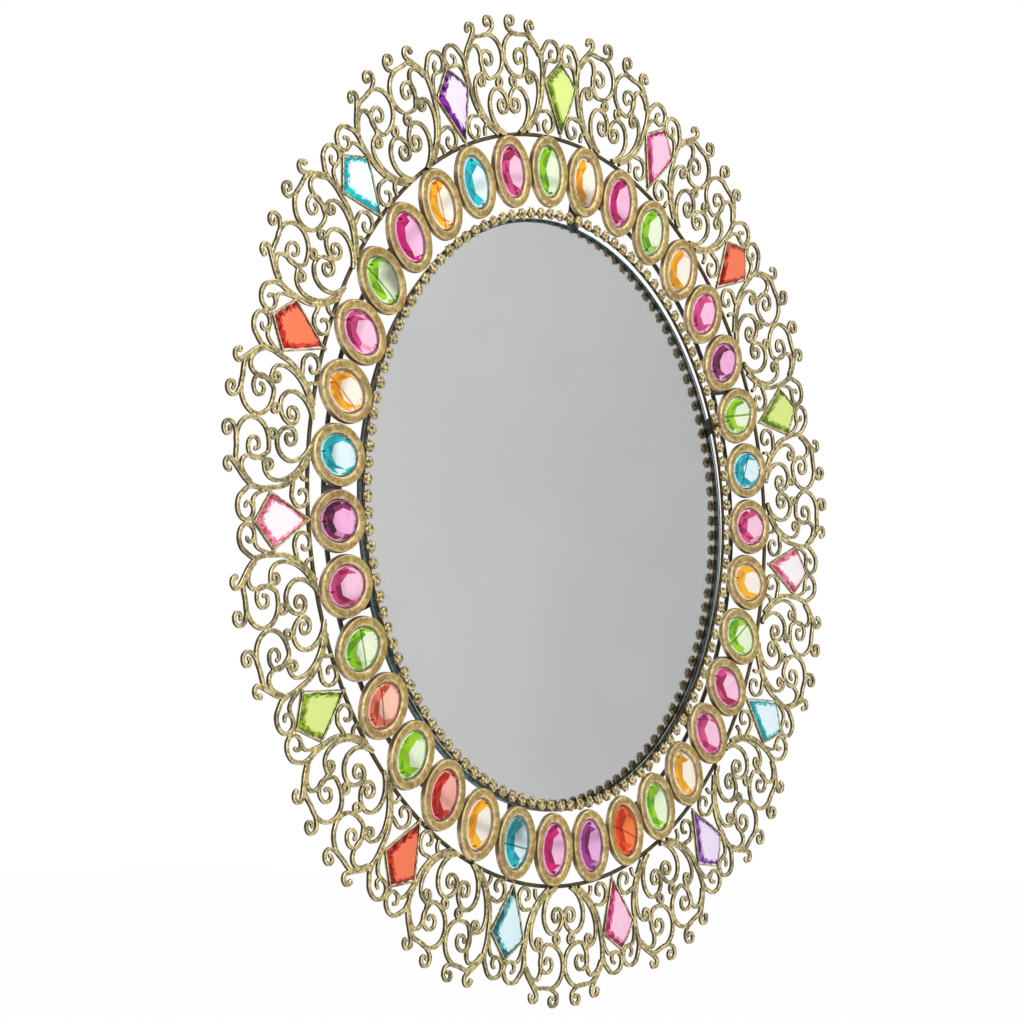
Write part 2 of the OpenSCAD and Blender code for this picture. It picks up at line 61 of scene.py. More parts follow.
def turn(centre, r0, r1, a0, a1, steps):
    # an arc or a spiral, from radius r0 at angle a0 to radius r1 at angle a1
    points = []
    for i in range(steps + 1):
        r = r0 + (r1 - r0) * i / steps
        a = math.radians(a0 + (a1 - a0) * i / steps)
        points.append((centre[0] + r * math.cos(a), centre[1] + r * math.sin(a)))
    return points


def smooth(points, perSpan=4):
    # a rounded line through all the points
    vectors = [Vector((p[0], p[1], 0)) for p in points]
    count = len(vectors)
    line = []
    for i in range(count - 1):
        p1, p2 = vectors[i], vectors[i + 1]
        p0 = vectors[i - 1] if i > 0 else p1 + (p1 - p2)
        p3 = vectors[i + 2] if i < count - 2 else p2 + (p2 - p1)
        for k in range(perSpan):
            t = k / perSpan
            line.append(0.5 * (2 * p1 + (p2 - p0) * t + (2 * p0 - 5 * p1 + 4 * p2 - p3) * t * t
                               + (3 * p1 - p0 - 3 * p2 + p3) * t ** 3))
    line.append(vectors[-1])
    return line


def sweep(name, strokes, profile, closed=False):
    # sweeps a flat profile along lines of (points, widths), all in mm, and returns one mesh
    section = bpy.data.curves.new(name + "Section", "CURVE")
    section.dimensions = "2D"
    outline = section.splines.new("POLY")
    outline.points.add(len(profile) - 1)
    outline.use_cyclic_u = True
    for point, (x, y) in zip(outline.points, profile):
        point.co = (x, y, 0, 1)
    sectionPiece = newObject(name + "Section", section)
    line = bpy.data.curves.new(name + "Line", "CURVE")
    line.dimensions = "3D"
    line.twist_mode = "Z_UP"
    line.bevel_mode = "OBJECT"
    line.bevel_object = sectionPiece
    line.use_fill_caps = not closed
    for points, widths in strokes:
        spline = line.splines.new("POLY")
        spline.points.add(len(points) - 1)
        spline.use_cyclic_u = closed
        spline.use_smooth = True
        for point, place, width in zip(spline.points, points, widths):
            point.co = (place.x, place.y, place.z, 1)
            point.radius = width
    linePiece = newObject(name + "Line", line)
    bpy.context.view_layer.update()
    ready = linePiece.evaluated_get(bpy.context.evaluated_depsgraph_get())
    mesh = bpy.data.meshes.new_from_object(ready)
    mesh.materials.clear()
    bpy.data.objects.remove(linePiece)
    bpy.data.objects.remove(sectionPiece)
    return mesh


def stamp(bm, mesh, matrix):
    # adds a copy of a mesh to bm and returns its new vertices and faces
    vertsBefore, facesBefore = len(bm.verts), len(bm.faces)
    bm.from_mesh(mesh)
    bm.verts.ensure_lookup_table()
    bm.faces.ensure_lookup_table()
    verts, faces = bm.verts[vertsBefore:], bm.faces[facesBefore:]
    bmesh.ops.transform(bm, matrix=matrix, verts=verts)
    return verts, faces


def toMesh(bm, name, shadeSmooth=False):
    for face in bm.faces:
        face.smooth = shadeSmooth
    mesh = bpy.data.meshes.new(name)
    bm.to_mesh(mesh)
    bm.free()
    return mesh


def addPiece(name, bm, materials, replaced=None, shadeSmooth=True):
    piece = newObject(name, toMesh(bm, name, shadeSmooth))
    for material in materials:
        piece.data.materials.append(material)
    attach(piece, "mirror")
    if replaced:
        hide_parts(replaced)


def onFrame(angle, radius, depth):
    # from a piece's own x right, y outwards, z front to its place on the frame, all in mm
    return (Matrix.Rotation(math.radians(angle), 4, "Y")
            @ Matrix.Translation((0, -depth * mm, radius * mm))
            @ Matrix.Rotation(math.radians(90), 4, "X")
            @ Matrix.Scale(mm, 4))


def blobMesh(name, levels, size, rough, seed):
    # a lumpy ball, for solder and forged ends
    bm = bmesh.new()
    bmesh.ops.create_icosphere(bm, subdivisions=levels, radius=1)
    for vert in bm.verts:
        shift = noise.noise(vert.co * 1.7 + Vector((seed, 0, seed)))
        vert.co *= 1 + rough * shift
    bmesh.ops.scale(bm, vec=size, verts=bm.verts)
    return toMesh(bm, name, True)


def addDrop(bm, drop, place, x, y, size):
    # a drop of solder or brazing, turned at random
    spun = Matrix.Rotation(random.uniform(0, 6), 4, "Z")
    stamp(bm, drop, place @ (Matrix.Translation((x, y, 0)) @ spun @ Matrix.Scale(size, 4)))


# Node tools and the shared effects

def fill(tree, node, values):
    # gives a node's inputs their links or plain values
    for key, value in values.items():
        if isinstance(value, bpy.types.NodeSocket):
            tree.links.new(value, node.inputs[key])
        else:
            node.inputs[key].default_value = value


def put(tree, kind, values=None, **settings):
    node = tree.nodes.new(kind if kind.startswith("NodeGroup") else "ShaderNode" + kind)
    for key, value in settings.items():
        setattr(node, key, value)
    fill(tree, node, values or {})
    return node


def mixColor(tree, share, a, b):
    return put(tree, "Mix", {0: share, 6: a, 7: b}, data_type="RGBA").outputs[2]


def band(tree, value, low, high, out0=0.0, out1=1.0):
    values = {"Value": value, "From Min": low, "From Max": high, "To Min": out0, "To Max": out1}
    return put(tree, "MapRange", values, interpolation_type="SMOOTHSTEP").outputs[0]


def reckon(tree, operation, a, b=0.0):
    return put(tree, "Math", {0: a, 1: b}, operation=operation, use_clamp=True).outputs[0]


def noiseAt(tree, where, scale, detail=3.0, roughness=0.5):
    values = {"Vector": where.outputs["Object"], "Scale": scale, "Detail": detail, "Roughness": roughness}
    return put(tree, "TexNoise", values).outputs[0]


def newGroup(name, inputs, outputs):
    tree = bpy.data.node_groups.new(name, "ShaderNodeTree")
    for direction, sockets in (("INPUT", inputs), ("OUTPUT", outputs)):
        for label, kind in sockets.items():
            tree.interface.new_socket(label, in_out=direction, socket_type="NodeSocket" + kind)
    return tree, put(tree, "NodeGroupInput"), put(tree, "NodeGroupOutput")


metalColours = ("Face", "WornAndHighlight", "Side", "Tarnish", "PatinaAndShade")
metalAmounts = ("Age", "Patch", "Grain", "Bump")


def buildAgedMetal():
    # flat fronts take the face colour, rounded edges the worn one, which is wear with a painted highlight,
    # and walls the side one, which is painted shade (painted light on the settings);
    # the patina lies in patches, and painted shade with patina lies wherever the vertex attribute read below
    # says
    inputs = {**dict.fromkeys(metalColours, "Color"), **dict.fromkeys(metalAmounts, "Float")}
    tree, given, made = newGroup("agedMetal", inputs, {
        "Color": "Color", "Roughness": "Float", "Metallic": "Float", "Normal": "Vector"})
    where = put(tree, "TexCoord")
    shadeAndPatina = put(tree, "Attribute", attribute_name="shadeAndPatina").outputs["Fac"]
    cloudy = noiseAt(tree, where, 115.0, 3.0, 0.6)
    mottle = noiseAt(tree, where, 60.0, 4.0, 0.6)
    patch = noiseAt(tree, where, given.outputs["Patch"], 4.0, 0.65)
    fine = noiseAt(tree, where, given.outputs["Grain"], 3.0)
    facing = put(tree, "SeparateXYZ", {0: where.outputs["Normal"]}).outputs["Y"]
    facing = reckon(tree, "ABSOLUTE", facing)
    # painted light and shade by facing: walls take the side colour, rounded edges the worn colour as a
    # painted highlight
    side = band(tree, facing, 0.22, 0.6)
    front = band(tree, facing, 0.86, 0.99)
    face = mixColor(tree, band(tree, cloudy, 0.47, 0.58), given.outputs["Face"], given.outputs["Tarnish"])
    color = mixColor(tree, side, given.outputs["Side"], given.outputs["WornAndHighlight"])
    color = mixColor(tree, front, color, face)
    shine = reckon(tree, "MULTIPLY", band(tree, patch, 0.5, 0.72), 0.55)
    color = mixColor(tree, reckon(tree, "MULTIPLY", shine, side), color, given.outputs["WornAndHighlight"])
    spots = band(tree, patch, 0.54, 0.34, 0.0, 0.9)
    stainAndShade = reckon(tree, "ADD", band(tree, mottle, 0.46, 0.66, 0.0, 0.7), spots)
    stainAndShade = reckon(tree, "MULTIPLY", stainAndShade, given.outputs["Age"])
    # painted shade from the vertex attribute joins the patina here
    stainAndShade = reckon(tree, "MAXIMUM", stainAndShade, shadeAndPatina)
    color = mixColor(tree, stainAndShade, color, given.outputs["PatinaAndShade"])
    rough = band(tree, patch, 0.3, 0.75, 0.58, 0.36)
    metal = band(tree, stainAndShade, 0.0, 1.0, 0.9, 0.45)
    height = reckon(tree, "ADD", reckon(tree, "MULTIPLY", fine, 0.4), reckon(tree, "MULTIPLY", patch, 0.6))
    bump = put(tree, "Bump", {"Height": height, "Strength": given.outputs["Bump"], "Distance": 0.0006})
    fill(tree, made, {"Color": color, "Roughness": rough, "Metallic": metal, "Normal": bump.outputs[0]})
    return tree


def buildStoneLightAndTint():
    # red of the cut attribute is painted light and shade: it runs from the pale look of a flat face to the
    # deep look of a facet, and green says where the stone is frosted
    inputs = {"Pale": "Color", "Middle": "Color", "Deep": "Color"}
    outputs = {"Color": "Color", "Roughness": "Float", "Normal": "Vector"}
    tree, given, made = newGroup("stoneLightAndTint", inputs, outputs)
    where = put(tree, "TexCoord")
    cut = put(tree, "SeparateColor", {0: put(tree, "Attribute", attribute_name="cut").outputs["Color"]})
    tone, frost = cut.outputs[0], cut.outputs[1]
    cloud = noiseAt(tree, where, 130.0)
    tone = reckon(tree, "ADD", tone, band(tree, cloud, 0.4, 0.7, 0.0, 0.08))
    color = mixColor(tree, band(tree, tone, 0.06, 0.5), given.outputs["Pale"], given.outputs["Middle"])
    color = mixColor(tree, band(tree, tone, 0.45, 0.9), color, given.outputs["Deep"])
    rough = band(tree, noiseAt(tree, where, 1400.0, 2.0), 0.5, 0.85, 0.012, 0.07)
    rough = reckon(tree, "ADD", rough, reckon(tree, "MULTIPLY", frost, 0.9))
    bump = put(tree, "Bump", {"Height": cloud, "Strength": 0.08, "Distance": 0.0005})
    fill(tree, made, {"Color": color, "Roughness": rough, "Normal": bump.outputs[0]})
    return tree


agedMetal = buildAgedMetal()
stoneLightAndTint = buildStoneLightAndTint()


def newMaterial(name):
    material = bpy.data.materials.new(name)
    material.use_nodes = True
    tree = material.node_tree
    return material, tree, tree.nodes["Principled BSDF"]


def wire(tree, source, shader, *labels):
    for label in labels:
        tree.links.new(source.outputs[label], shader.inputs["Base Color" if label == "Color" else label])


def agedMetalMaterial(name, looks):
    material, tree, shader = newMaterial(name)
    group = put(tree, "Group", node_tree=agedMetal)
    for key, look in zip(metalColours + metalAmounts, looks):
        group.inputs[key].default_value = (*look, 1) if isinstance(look, tuple) else look
    wire(tree, group, shader, "Color", "Roughness", "Metallic", "Normal")
    return material


# Each metal's face, worn edge with a painted highlight, side as painted shade (painted light on the
# settings), tarnish and patina with painted shade, and its age, patch scale, grain and bump
metals = {
    "antiqueBrass": ((0.64, 0.5, 0.215), (0.98, 0.88, 0.56), (0.085, 0.058, 0.022), (0.4, 0.35, 0.12),
                     (0.03, 0.02, 0.008), 0.72, 330.0, 900.0, 0.5),
    "settingBrass": ((0.53, 0.35, 0.115), (0.84, 0.68, 0.38), (0.66, 0.53, 0.3), (0.45, 0.38, 0.1),
                     (0.13, 0.065, 0.022), 0.55, 230.0, 700.0, 0.8),
    "beadBrass": ((0.98, 0.86, 0.48), (0.9, 0.72, 0.36), (0.46, 0.32, 0.12), (0.74, 0.68, 0.28),
                  (0.03, 0.018, 0.006), 0.6, 420.0, 800.0, 0.9),
    # the ring's dark brown face is painted shade, for the bead wire in the gaps between the beads and for
    # the outer ring
    "ringBrass": ((0.17, 0.125, 0.055), (0.13, 0.095, 0.045), (0.03, 0.022, 0.012), (0.12, 0.1, 0.04),
                  (0.022, 0.016, 0.009), 0.6, 150.0, 900.0, 0.3),
    "solderBrass": ((0.7, 0.46, 0.22), (0.66, 0.46, 0.22), (0.16, 0.09, 0.04), (0.6, 0.44, 0.18),
                    (0.08, 0.04, 0.018), 0.5, 500.0, 900.0, 0.6),
    "zincSteel": ((0.62, 0.63, 0.64), (0.72, 0.73, 0.74), (0.5, 0.51, 0.52), (0.56, 0.57, 0.57),
                  (0.34, 0.35, 0.36), 0.25, 300.0, 1500.0, 0.12),
}
antiqueBrass, settingBrass, beadBrass, ringBrass, solderBrass, zincSteel = [
    agedMetalMaterial(name, looks) for name, looks in metals.items()]


def coatedMaterial(name, base, worn, rough, scale, stretch, height, spots):
    # paint, rubber or stained board: patches and a grain of the worn colour, which also roughens it
    material, tree, shader = newMaterial(name)
    spread = put(tree, "Mapping", {"Vector": put(tree, "TexCoord").outputs["Object"], "Scale": stretch})
    color = (*base, 1)
    for size, low, high in ((scale * 0.1, 0.45, 0.75), (scale, 0.4, 0.8)):
        values = {"Vector": spread.outputs[0], "Scale": size, "Detail": 4.0}
        grain = put(tree, "TexNoise", values).outputs[0]
        share = reckon(tree, "MULTIPLY", band(tree, grain, low, high), spots)
        color = mixColor(tree, share, color, (*worn, 1))
    rough = band(tree, grain, 0.3, 0.7, rough, rough + 0.15)
    bump = put(tree, "Bump", {"Height": grain, "Strength": 0.5, "Distance": height})
    fill(tree, shader, {"Base Color": color, "Roughness": rough, "Normal": bump.outputs[0]})
    return material


# Each coating's base and worn colours, and its roughness, grain, stretch, bump and share of spots
coatings = {
    "blackSteel": ((0.018, 0.018, 0.019), (0.06, 0.058, 0.055), 0.35, 900, (1, 1, 1), 0.0001, 0.5),
    "stainedBoard": ((0.028, 0.02, 0.014), (0.075, 0.052, 0.034), 0.6, 260, (1, 1, 0.15), 0.0002, 0.7),
    "bumperRubber": ((0.016, 0.016, 0.017), (0.045, 0.044, 0.043), 0.7, 1800, (1, 1, 1), 0.0001, 0.4),
    # the pane's near-black edge wall is painted shade, for the dark band between the settings and the beads
    "paneEdgeShade": ((0.012, 0.014, 0.014), (0.05, 0.06, 0.058), 0.3, 500, (1, 1, 1), 0.0001, 0.5),
}
blackSteel, stainedBoard, bumperRubber, paneEdgeShade = [
    coatedMaterial(name, *looks) for name, looks in coatings.items()]

acrylicLook = {"Transmission Weight": 0.88, "IOR": 1.3}
# Acrylic tints as they look with light behind: through the flat face, a bright facet and a dark one; the
# facet looks are painted light and shade
acrylicTints = {
    "magenta": ((0.96, 0.6, 0.8), (0.74, 0.01, 0.23), (0.34, 0.012, 0.09)),
    "amber": ((0.96, 0.92, 0.82), (0.98, 0.57, 0.02), (0.82, 0.34, 0.008)),
    "cyan": ((0.84, 0.95, 0.98), (0.015, 0.62, 0.64), (0.01, 0.34, 0.42)),
    "pink": ((0.98, 0.66, 0.82), (0.82, 0.1, 0.33), (0.38, 0.015, 0.09)),
    "lime": ((0.88, 0.95, 0.74), (0.42, 0.73, 0.012), (0.16, 0.44, 0.005)),
    "red": ((0.98, 0.52, 0.46), (0.78, 0.05, 0.02), (0.42, 0.015, 0.006)),
    "salmon": ((0.98, 0.66, 0.52), (0.88, 0.28, 0.17), (0.55, 0.07, 0.035)),
    "plum": ((0.97, 0.54, 0.8), (0.34, 0.03, 0.17), (0.09, 0.01, 0.045)),
    "orchid": ((0.88, 0.52, 0.8), (0.5, 0.07, 0.36), (0.22, 0.015, 0.14)),
    "tangerine": ((0.98, 0.28, 0.05), (0.9, 0.12, 0.012), (0.62, 0.035, 0.006)),
    "violet": ((0.84, 0.78, 0.92), (0.34, 0.03, 0.48), (0.09, 0.004, 0.12)),
    "yellowGreen": ((0.78, 0.88, 0.32), (0.42, 0.58, 0.04), (0.1, 0.18, 0.008)),
    "scarlet": ((0.94, 0.26, 0.12), (0.7, 0.045, 0.015), (0.28, 0.01, 0.004)),
    "rose": ((0.98, 0.93, 0.96), (0.86, 0.3, 0.44), (0.6, 0.04, 0.12)),
    "lilac": ((0.9, 0.82, 0.97), (0.42, 0.18, 0.6), (0.13, 0.02, 0.22)),
    "aqua": ((0.78, 0.94, 0.96), (0.1, 0.46, 0.5), (0.01, 0.13, 0.15)),
}


def facetTint(look, pale):
    # light goes in through a facet and out through the pale back, so the facet itself is deeper
    return tuple(a * a / b for a, b in zip(look, pale))


def acrylicMaterial(name, looks):
    material, tree, shader = newMaterial("acrylic" + name[0].upper() + name[1:])
    group = put(tree, "Group", node_tree=stoneLightAndTint)
    pale = looks[0]
    for label, look in zip(("Pale", "Middle", "Deep"), looks):
        group.inputs[label].default_value = (*facetTint(look, pale), 1)
    wire(tree, group, shader, "Color", "Roughness", "Normal")
    fill(tree, shader, acrylicLook)
    return material


acrylic = {name: acrylicMaterial(name, looks) for name, looks in acrylicTints.items()}
print("materials ready")


# The camera stands where the photographer stood, low and to the left
cameraSettings = {
    "place": (-2.14614, -1.6473, -0.23037), "yaw": 52.024, "pitch": -4.836,
    "lens": 115.02, "sensor": 36.0,
}


def addCamera(settings):
    data = bpy.data.cameras.new("camera")
    data.lens = settings["lens"]
    data.sensor_width = settings["sensor"]
    data.sensor_fit = "HORIZONTAL"
    yaw, pitch = math.radians(settings["yaw"]), math.radians(settings["pitch"])
    forward = Vector((math.sin(yaw) * math.cos(pitch), math.cos(yaw) * math.cos(pitch), -math.sin(pitch)))
    right = Vector((math.cos(yaw), -math.sin(yaw), 0))
    up = right.cross(forward)
    pose = Matrix((right, up, -forward)).transposed().to_4x4()
    camera = newObject("camera", data)
    camera.matrix_world = Matrix.Translation(settings["place"]) @ pose
    bpy.context.scene.camera = camera


addCamera(cameraSettings)
print("camera placed")


# The kites, which also say how wide each scroll panel is
kite = {
    "tip": 316.2, "wide": 354.2, "top": 372.0, "width": 39.0, "back": 21.0, "gap": 0.03, "cuts": 6,
    "backInset": 0.7, "girdle": 0.5, "rim": 1.9, "crown": 2.5, "facet": 3.6, "bow": 0.8,
    "ragged": (0.2, 0.5, 0.7, 1.0, 1.0), "ridgeShare": 0.55, "ridgeRise": 0.75, "upperRise": 0.8,
    "wallTone": 0.7, "upperTones": (0.15, 0.3, 0.5, 0.62), "lowerTones": (0.55, 0.8, 1.0),
    "wall": 1.5, "wallHeight": 3.1, "wallOut": 1.6, "wallDepth": 22.0, "wallRound": 0.5, "wallCut": 0.15,
    "wallSteps": (0.03, 0.2, 0.4, 0.6, 0.8, 0.97), "blob": 1.5, "blobOut": 0.5, "blobRise": 0.3,
}
kiteTints = {"plum": "violet", "red": "scarlet", "lime": "yellowGreen"}
kiteOrder = "plum lime pink red lime rose cyan lilac pink aqua red lime rose red cyan".split()
# Degrees by which each kite was set round clockwise, by hand, from its even place
kiteTurn = [0.6, 0.4, 0, -0.4, -0.1, -0.5, -1, -1.1, -0.9, -0.3, -0.5, 0.3, 0.9, 1.2, 0.9]

# The scrollwork panels
panel = {
    "count": 15, "start": -24.2, "ringRadius": 310.0, "depth": 21.8, "thick": 2.8, "height": 98.2,
    "drawnHalf": 12.0, "drawnShoulder": 42.5, "drawnHeight": 97.5, "blob": 1.42, "crossing": 0.07,
    "curlShade": 0.8, "curlReach": 4.6, "faceShade": 0.55, "faceFrom": 0.9,
    "bend": 0.5, "bendRise": 30, "bendScale": 0.03, "bendStep": 5.3,
    "dent": 0.16, "dentFrom": 0.3, "dentScale": 0.35, "dentStep": 2.1,
}
# Right half of a panel, in mm: x from the panel's axis, y outwards from the ring's wire
strands = {
    "bracket": ([(20, 1.5), (31, 9), (40.5, 18.5), (46.6, 29), (49.2, 39.5), (51.4, 50), (51.2, 60),
                 (47.6, 68.6), (42.2, 76), (37.6, 82.4)]
                + turn((40.7, 86.4), 4.6, 3.6, 185, -10, 5), 3.8, 3.8),
    "heart": ([(12.5, 1.2), (21.5, 5.6), (31, 12.2), (38.2, 21), (42.4, 31.5), (42.2, 40.5),
               (38.2, 46.8), (31.5, 49.4)], 3.6, 2.8),
    "arch": ([(49.4, 61.5), (45.2, 68.6), (39.8, 72.6), (34.4, 72.4), (30.8, 67.5), (29.6, 59),
              (29.8, 50.5)] + turn((33.2, 43), 4.2, 2, 160, 450, 7), 3.4, 2.8),
    "bigScroll": ([(41.8, 75.6), (35.8, 79.6)] + turn((19.5, 63.2), 18.2, 18.2, 70, 285, 10)
                  + turn((21.6, 60.2), 10, 2.6, -35, 350, 10), 3.6, 2.8),
    "crestCurl": ([(22, 80.2), (15.5, 82.6), (10.8, 86)]
                  + turn((15.8, 91), 6.2, 1.9, 185, -130, 9), 3.0, 2.8),
    "linkCurl": ([(13.5, 46.6)] + turn((10.2, 41.3), 4.2, 2, 130, 430, 7), 2.8, 2.6),
    "smallHeart": ([(9.5, 0.8), (17, 5), (23.4, 12.6), (26, 22.5), (23.4, 31.2), (17, 36.2), (9.8, 36),
                    (4, 31.4)] + turn((8.9, 23.6), 7.6, 2.4, 172, 560, 10), 3.5, 2.8),
    "footCurl": ([(38.6, 16.6)] + turn((48.8, 5.9), 11.6, 2.6, 116, -250, 9), 3.1, 2.6),
    "footStrut": ([(32.6, 10), (36.2, 6), (36.6, 0.5)], 2.8, 2.8),
    "horn": ([(51.4, 55), (53.4, 63)] + turn((68.8, 62.4), 12.8, 2.6, 156, -245, 11), 3.6, 2.8),
    "hornBrace": ([(67, 56.2), (61, 57), (56.4, 52.8), (53.2, 46.5), (50.6, 40)], 2.8, 2.8),
}
curledEnds = ("bracket", "arch", "bigScroll", "crestCurl", "linkCurl", "smallHeart", "footCurl", "horn")
# Where straps are brazed to each other
brazedJoints = [(31.5, 49.4), (13.5, 46.6), (38.6, 16.6), (51.0, 57.0), (36.4, 80.5), (2.0, 28.0),
                (32.6, 10), (47.5, 66.5), (1.6, 63.2)]
# A hammered strap, nearly square, with its front corners rubbed round, for a width of 1
strapProfile = [(-0.46, -0.37), (0.46, -0.37), (0.5, -0.32), (0.5, 0.18), (0.47, 0.27), (0.38, 0.34),
                (0.2, 0.37), (-0.2, 0.37), (-0.38, 0.34), (-0.47, 0.27), (-0.5, 0.18), (-0.5, -0.32)]
profileThick = 0.74


def kiteAngle(index):
    # kites are counted round from 0, and the one after the last is the first again
    rounds, place = divmod(index, panel["count"])
    return panel["start"] + 360 * rounds + place * 360 / panel["count"] + kiteTurn[place]


def panelHalf(index):
    return (kiteAngle(index + 1) - kiteAngle(index)) / 2


def fanned(point, half):
    # the drawing spread out to fill a panel that is half degrees wide on each side
    shoulder, drawn = kite["wide"] - panel["ringRadius"], panel["drawnShoulder"]
    y = point.y * shoulder / drawn
    if point.y > drawn:
        y = shoulder + (point.y - drawn) * (panel["height"] - shoulder) / (panel["drawnHeight"] - drawn)
    fan = math.tan(math.radians(half)) / math.tan(math.radians(panel["drawnHalf"]))
    x = point.x * fan * (panel["ringRadius"] + y) / (panel["ringRadius"] + point.y)
    return Vector((x, y, point.z))


def darken(bm, shade):
    # sets how much painted shade and patina a point holds, by a function of its place
    layer = bm.verts.layers.float.get("shadeAndPatina") or bm.verts.layers.float.new("shadeAndPatina")
    for vert in bm.verts:
        vert[layer] = clamped(shade(vert.co))


def curlShade(place):
    # painted shade: dark on the sides inside a curl, less on its face
    ends = [strands[name][0][-1] for name in curledEnds]
    near = min(math.hypot(abs(place.x) - x, place.y - y) for x, y in ends)
    shade = panel["curlShade"] * (1 - near / panel["curlReach"])
    return shade * panel["faceShade"] if place.z > panel["faceFrom"] else shade


def buildPanelTemplate():
    bm = bmesh.new()
    ball = blobMesh("forgedEnd", 2, (1, 1, 0.8), 0.12, 3.0)
    for order, (name, (points, startWidth, endWidth)) in enumerate(strands.items()):
        strokes = []
        for side in (1, -1):
            line = smooth([(side * x, y) for x, y in points])
            last = len(line) - 1
            widths = [startWidth + (endWidth - startWidth) * i / last for i in range(last + 1)]
            strokes.append((line, widths))
        flatten = panel["thick"] / (profileThick * (startWidth + endWidth) / 2)
        sunk = panel["crossing"] * (order % 3)  # so straps that cross don't share one surface
        straps = sweep(name, strokes, strapProfile)
        stamp(bm, straps, Matrix.Translation((0, 0, -sunk)) @ Matrix.Diagonal((1, 1, flatten, 1)))
        if name in curledEnds:
            x, y = points[-1]
            for side in (1, -1):
                place = Matrix.Translation((side * x, y, 0)) @ Matrix.Scale(endWidth * panel["blob"] / 2, 4)
                stamp(bm, ball, place)
    darken(bm, curlShade)
    mesh = toMesh(bm, "panelTemplate", True)
    print("panel template", len(mesh.polygons), "faces")
    return mesh


def wrought(place, index):
    # bent and hammered by hand, so no two panels are alike
    scale, reach = panel["bendScale"], clamped(place.y / panel["bendRise"]) * panel["bend"]
    shift = noise.noise_vector(Vector((place.x * scale, place.y * scale, index * panel["bendStep"])))
    place = place + Vector((shift.x, min(shift.y, 0), 0)) * reach
    if place.z > panel["dentFrom"]:
        scale = panel["dentScale"]
        dent = noise.noise(Vector((place.x * scale, place.y * scale, index * panel["dentStep"])))
        place.z -= panel["dent"] * abs(dent)
    return place


def buildPanels():
    template = buildPanelTemplate()
    for index in range(panel["count"]):
        half = panelHalf(index)
        bm = bmesh.new()
        bm.from_mesh(template)
        for vert in bm.verts:
            vert.co = wrought(fanned(vert.co, half), index)
        place = onFrame(kiteAngle(index) + half, panel["ringRadius"], panel["depth"])
        bmesh.ops.transform(bm, matrix=place, verts=bm.verts)
        node = "scroll_panel_%02d" % (index + 1)
        addPiece("scrollPanel%02d" % (index + 1), bm, [antiqueBrass], node)


buildPanels()
print("scroll panels made")


# The oval settings
oval = {
    "count": 35, "start": -44.3, "radius": 280.0, "back": 20.4, "length": 60.0, "width": 49.2,
    "endRadius": 20.8, "perNode": 7, "lean": 0.8,
    "cupShare": 0.375, "cupShade": 0.85, "cupHeight": 3.1, "cupFade": 0.8,
    "sideFrom": 19.0, "sideReach": 3, "sideShade": 0.95, "sideHeight": 4.7, "sideFade": 0.9,
    "dentFrom": 1.2, "dentStep": 26, "broadDent": 0.3, "broadScale": 0.14,
    "fineDent": 0.16, "fineScale": 0.42,
}
# Section of a setting, in mm: x from the outer edge inwards, y from the back
ovalSection = [(-0.2, 0.0), (0.0, 0.3), (-0.2, 2.3), (-0.6, 3.8), (-1.1, 4.5), (-1.9, 4.88),
               (-3.1, 4.96), (-4.6, 4.8), (-6.0, 4.42), (-7.1, 3.95), (-7.7, 3.55), (-7.97, 3.0),
               (-8.1, 2.2), (-8.1, 1.0), (-10.1, 0.98), (-10.25, 0.8), (-10.25, 0.0)]


def ovalOutline(settings, perArc=20):
    # four arcs: the long sides and the rounded ends
    a, b, r = settings["length"] / 2, settings["width"] / 2, settings["endRadius"]
    sideR = (a * a + b * b - 2 * a * r) / (2 * (b - r))
    meet = math.degrees(math.atan2(a - r, sideR - b))
    points = []
    points += turn((b - sideR, 0), sideR, sideR, -meet, meet, perArc)[:-1]
    points += turn((0, a - r), r, r, meet, 180 - meet, perArc)[:-1]
    points += turn((sideR - b, 0), sideR, sideR, 180 - meet, 180 + meet, perArc)[:-1]
    points += turn((0, r - a), r, r, 180 + meet, 360 - meet, perArc)[:-1]
    return [Vector((x, y, 0)) for x, y in points]


def ovalAngle(index):
    return oval["start"] + index * 360 / oval["count"]


def settingShade(place):
    # painted shade: dark low down between neighbours, and down inside the cup
    if math.hypot(place.x / oval["width"], place.y / oval["length"]) < oval["cupShare"]:
        return oval["cupShade"] * (oval["cupHeight"] - place.z) / oval["cupFade"]
    sideways = clamped((abs(place.x) - oval["sideFrom"]) / oval["sideReach"])
    return oval["sideShade"] * sideways * clamped((oval["sideHeight"] - place.z) / oval["sideFade"])


def buildOvalSettings():
    line = ovalOutline(oval)
    bm = bmesh.new()
    bm.from_mesh(sweep("oval", [(line, [1.0] * len(line))], ovalSection, closed=True))
    darken(bm, settingShade)
    template = toMesh(bm, "ovalTemplate", True)
    for group in range(oval["count"] // oval["perNode"]):
        bm = bmesh.new()
        for index in range(group * oval["perNode"], (group + 1) * oval["perNode"]):
            random.seed(200 + index)
            lean = Matrix.Rotation(math.radians(random.uniform(-1, 1) * oval["lean"]), 4, "Z")
            verts, _ = stamp(bm, template, lean)
            for vert in verts:  # beaten a little uneven
                if vert.co.z > oval["dentFrom"]:
                    spot = Vector((vert.co.x, vert.co.y, index * oval["dentStep"]))
                    broad = oval["broadDent"] * abs(noise.noise(spot * oval["broadScale"]))
                    vert.co.z -= broad + oval["fineDent"] * abs(noise.noise(spot * oval["fineScale"]))
            place = onFrame(ovalAngle(index), oval["radius"], oval["back"])
            bmesh.ops.transform(bm, matrix=place, verts=verts)
        bmesh.ops.recalc_face_normals(bm, faces=bm.faces)
        node = "oval_settings_%02d" % (group + 1)
        addPiece("ovalSettings%02d" % (group + 1), bm, [settingBrass], node)


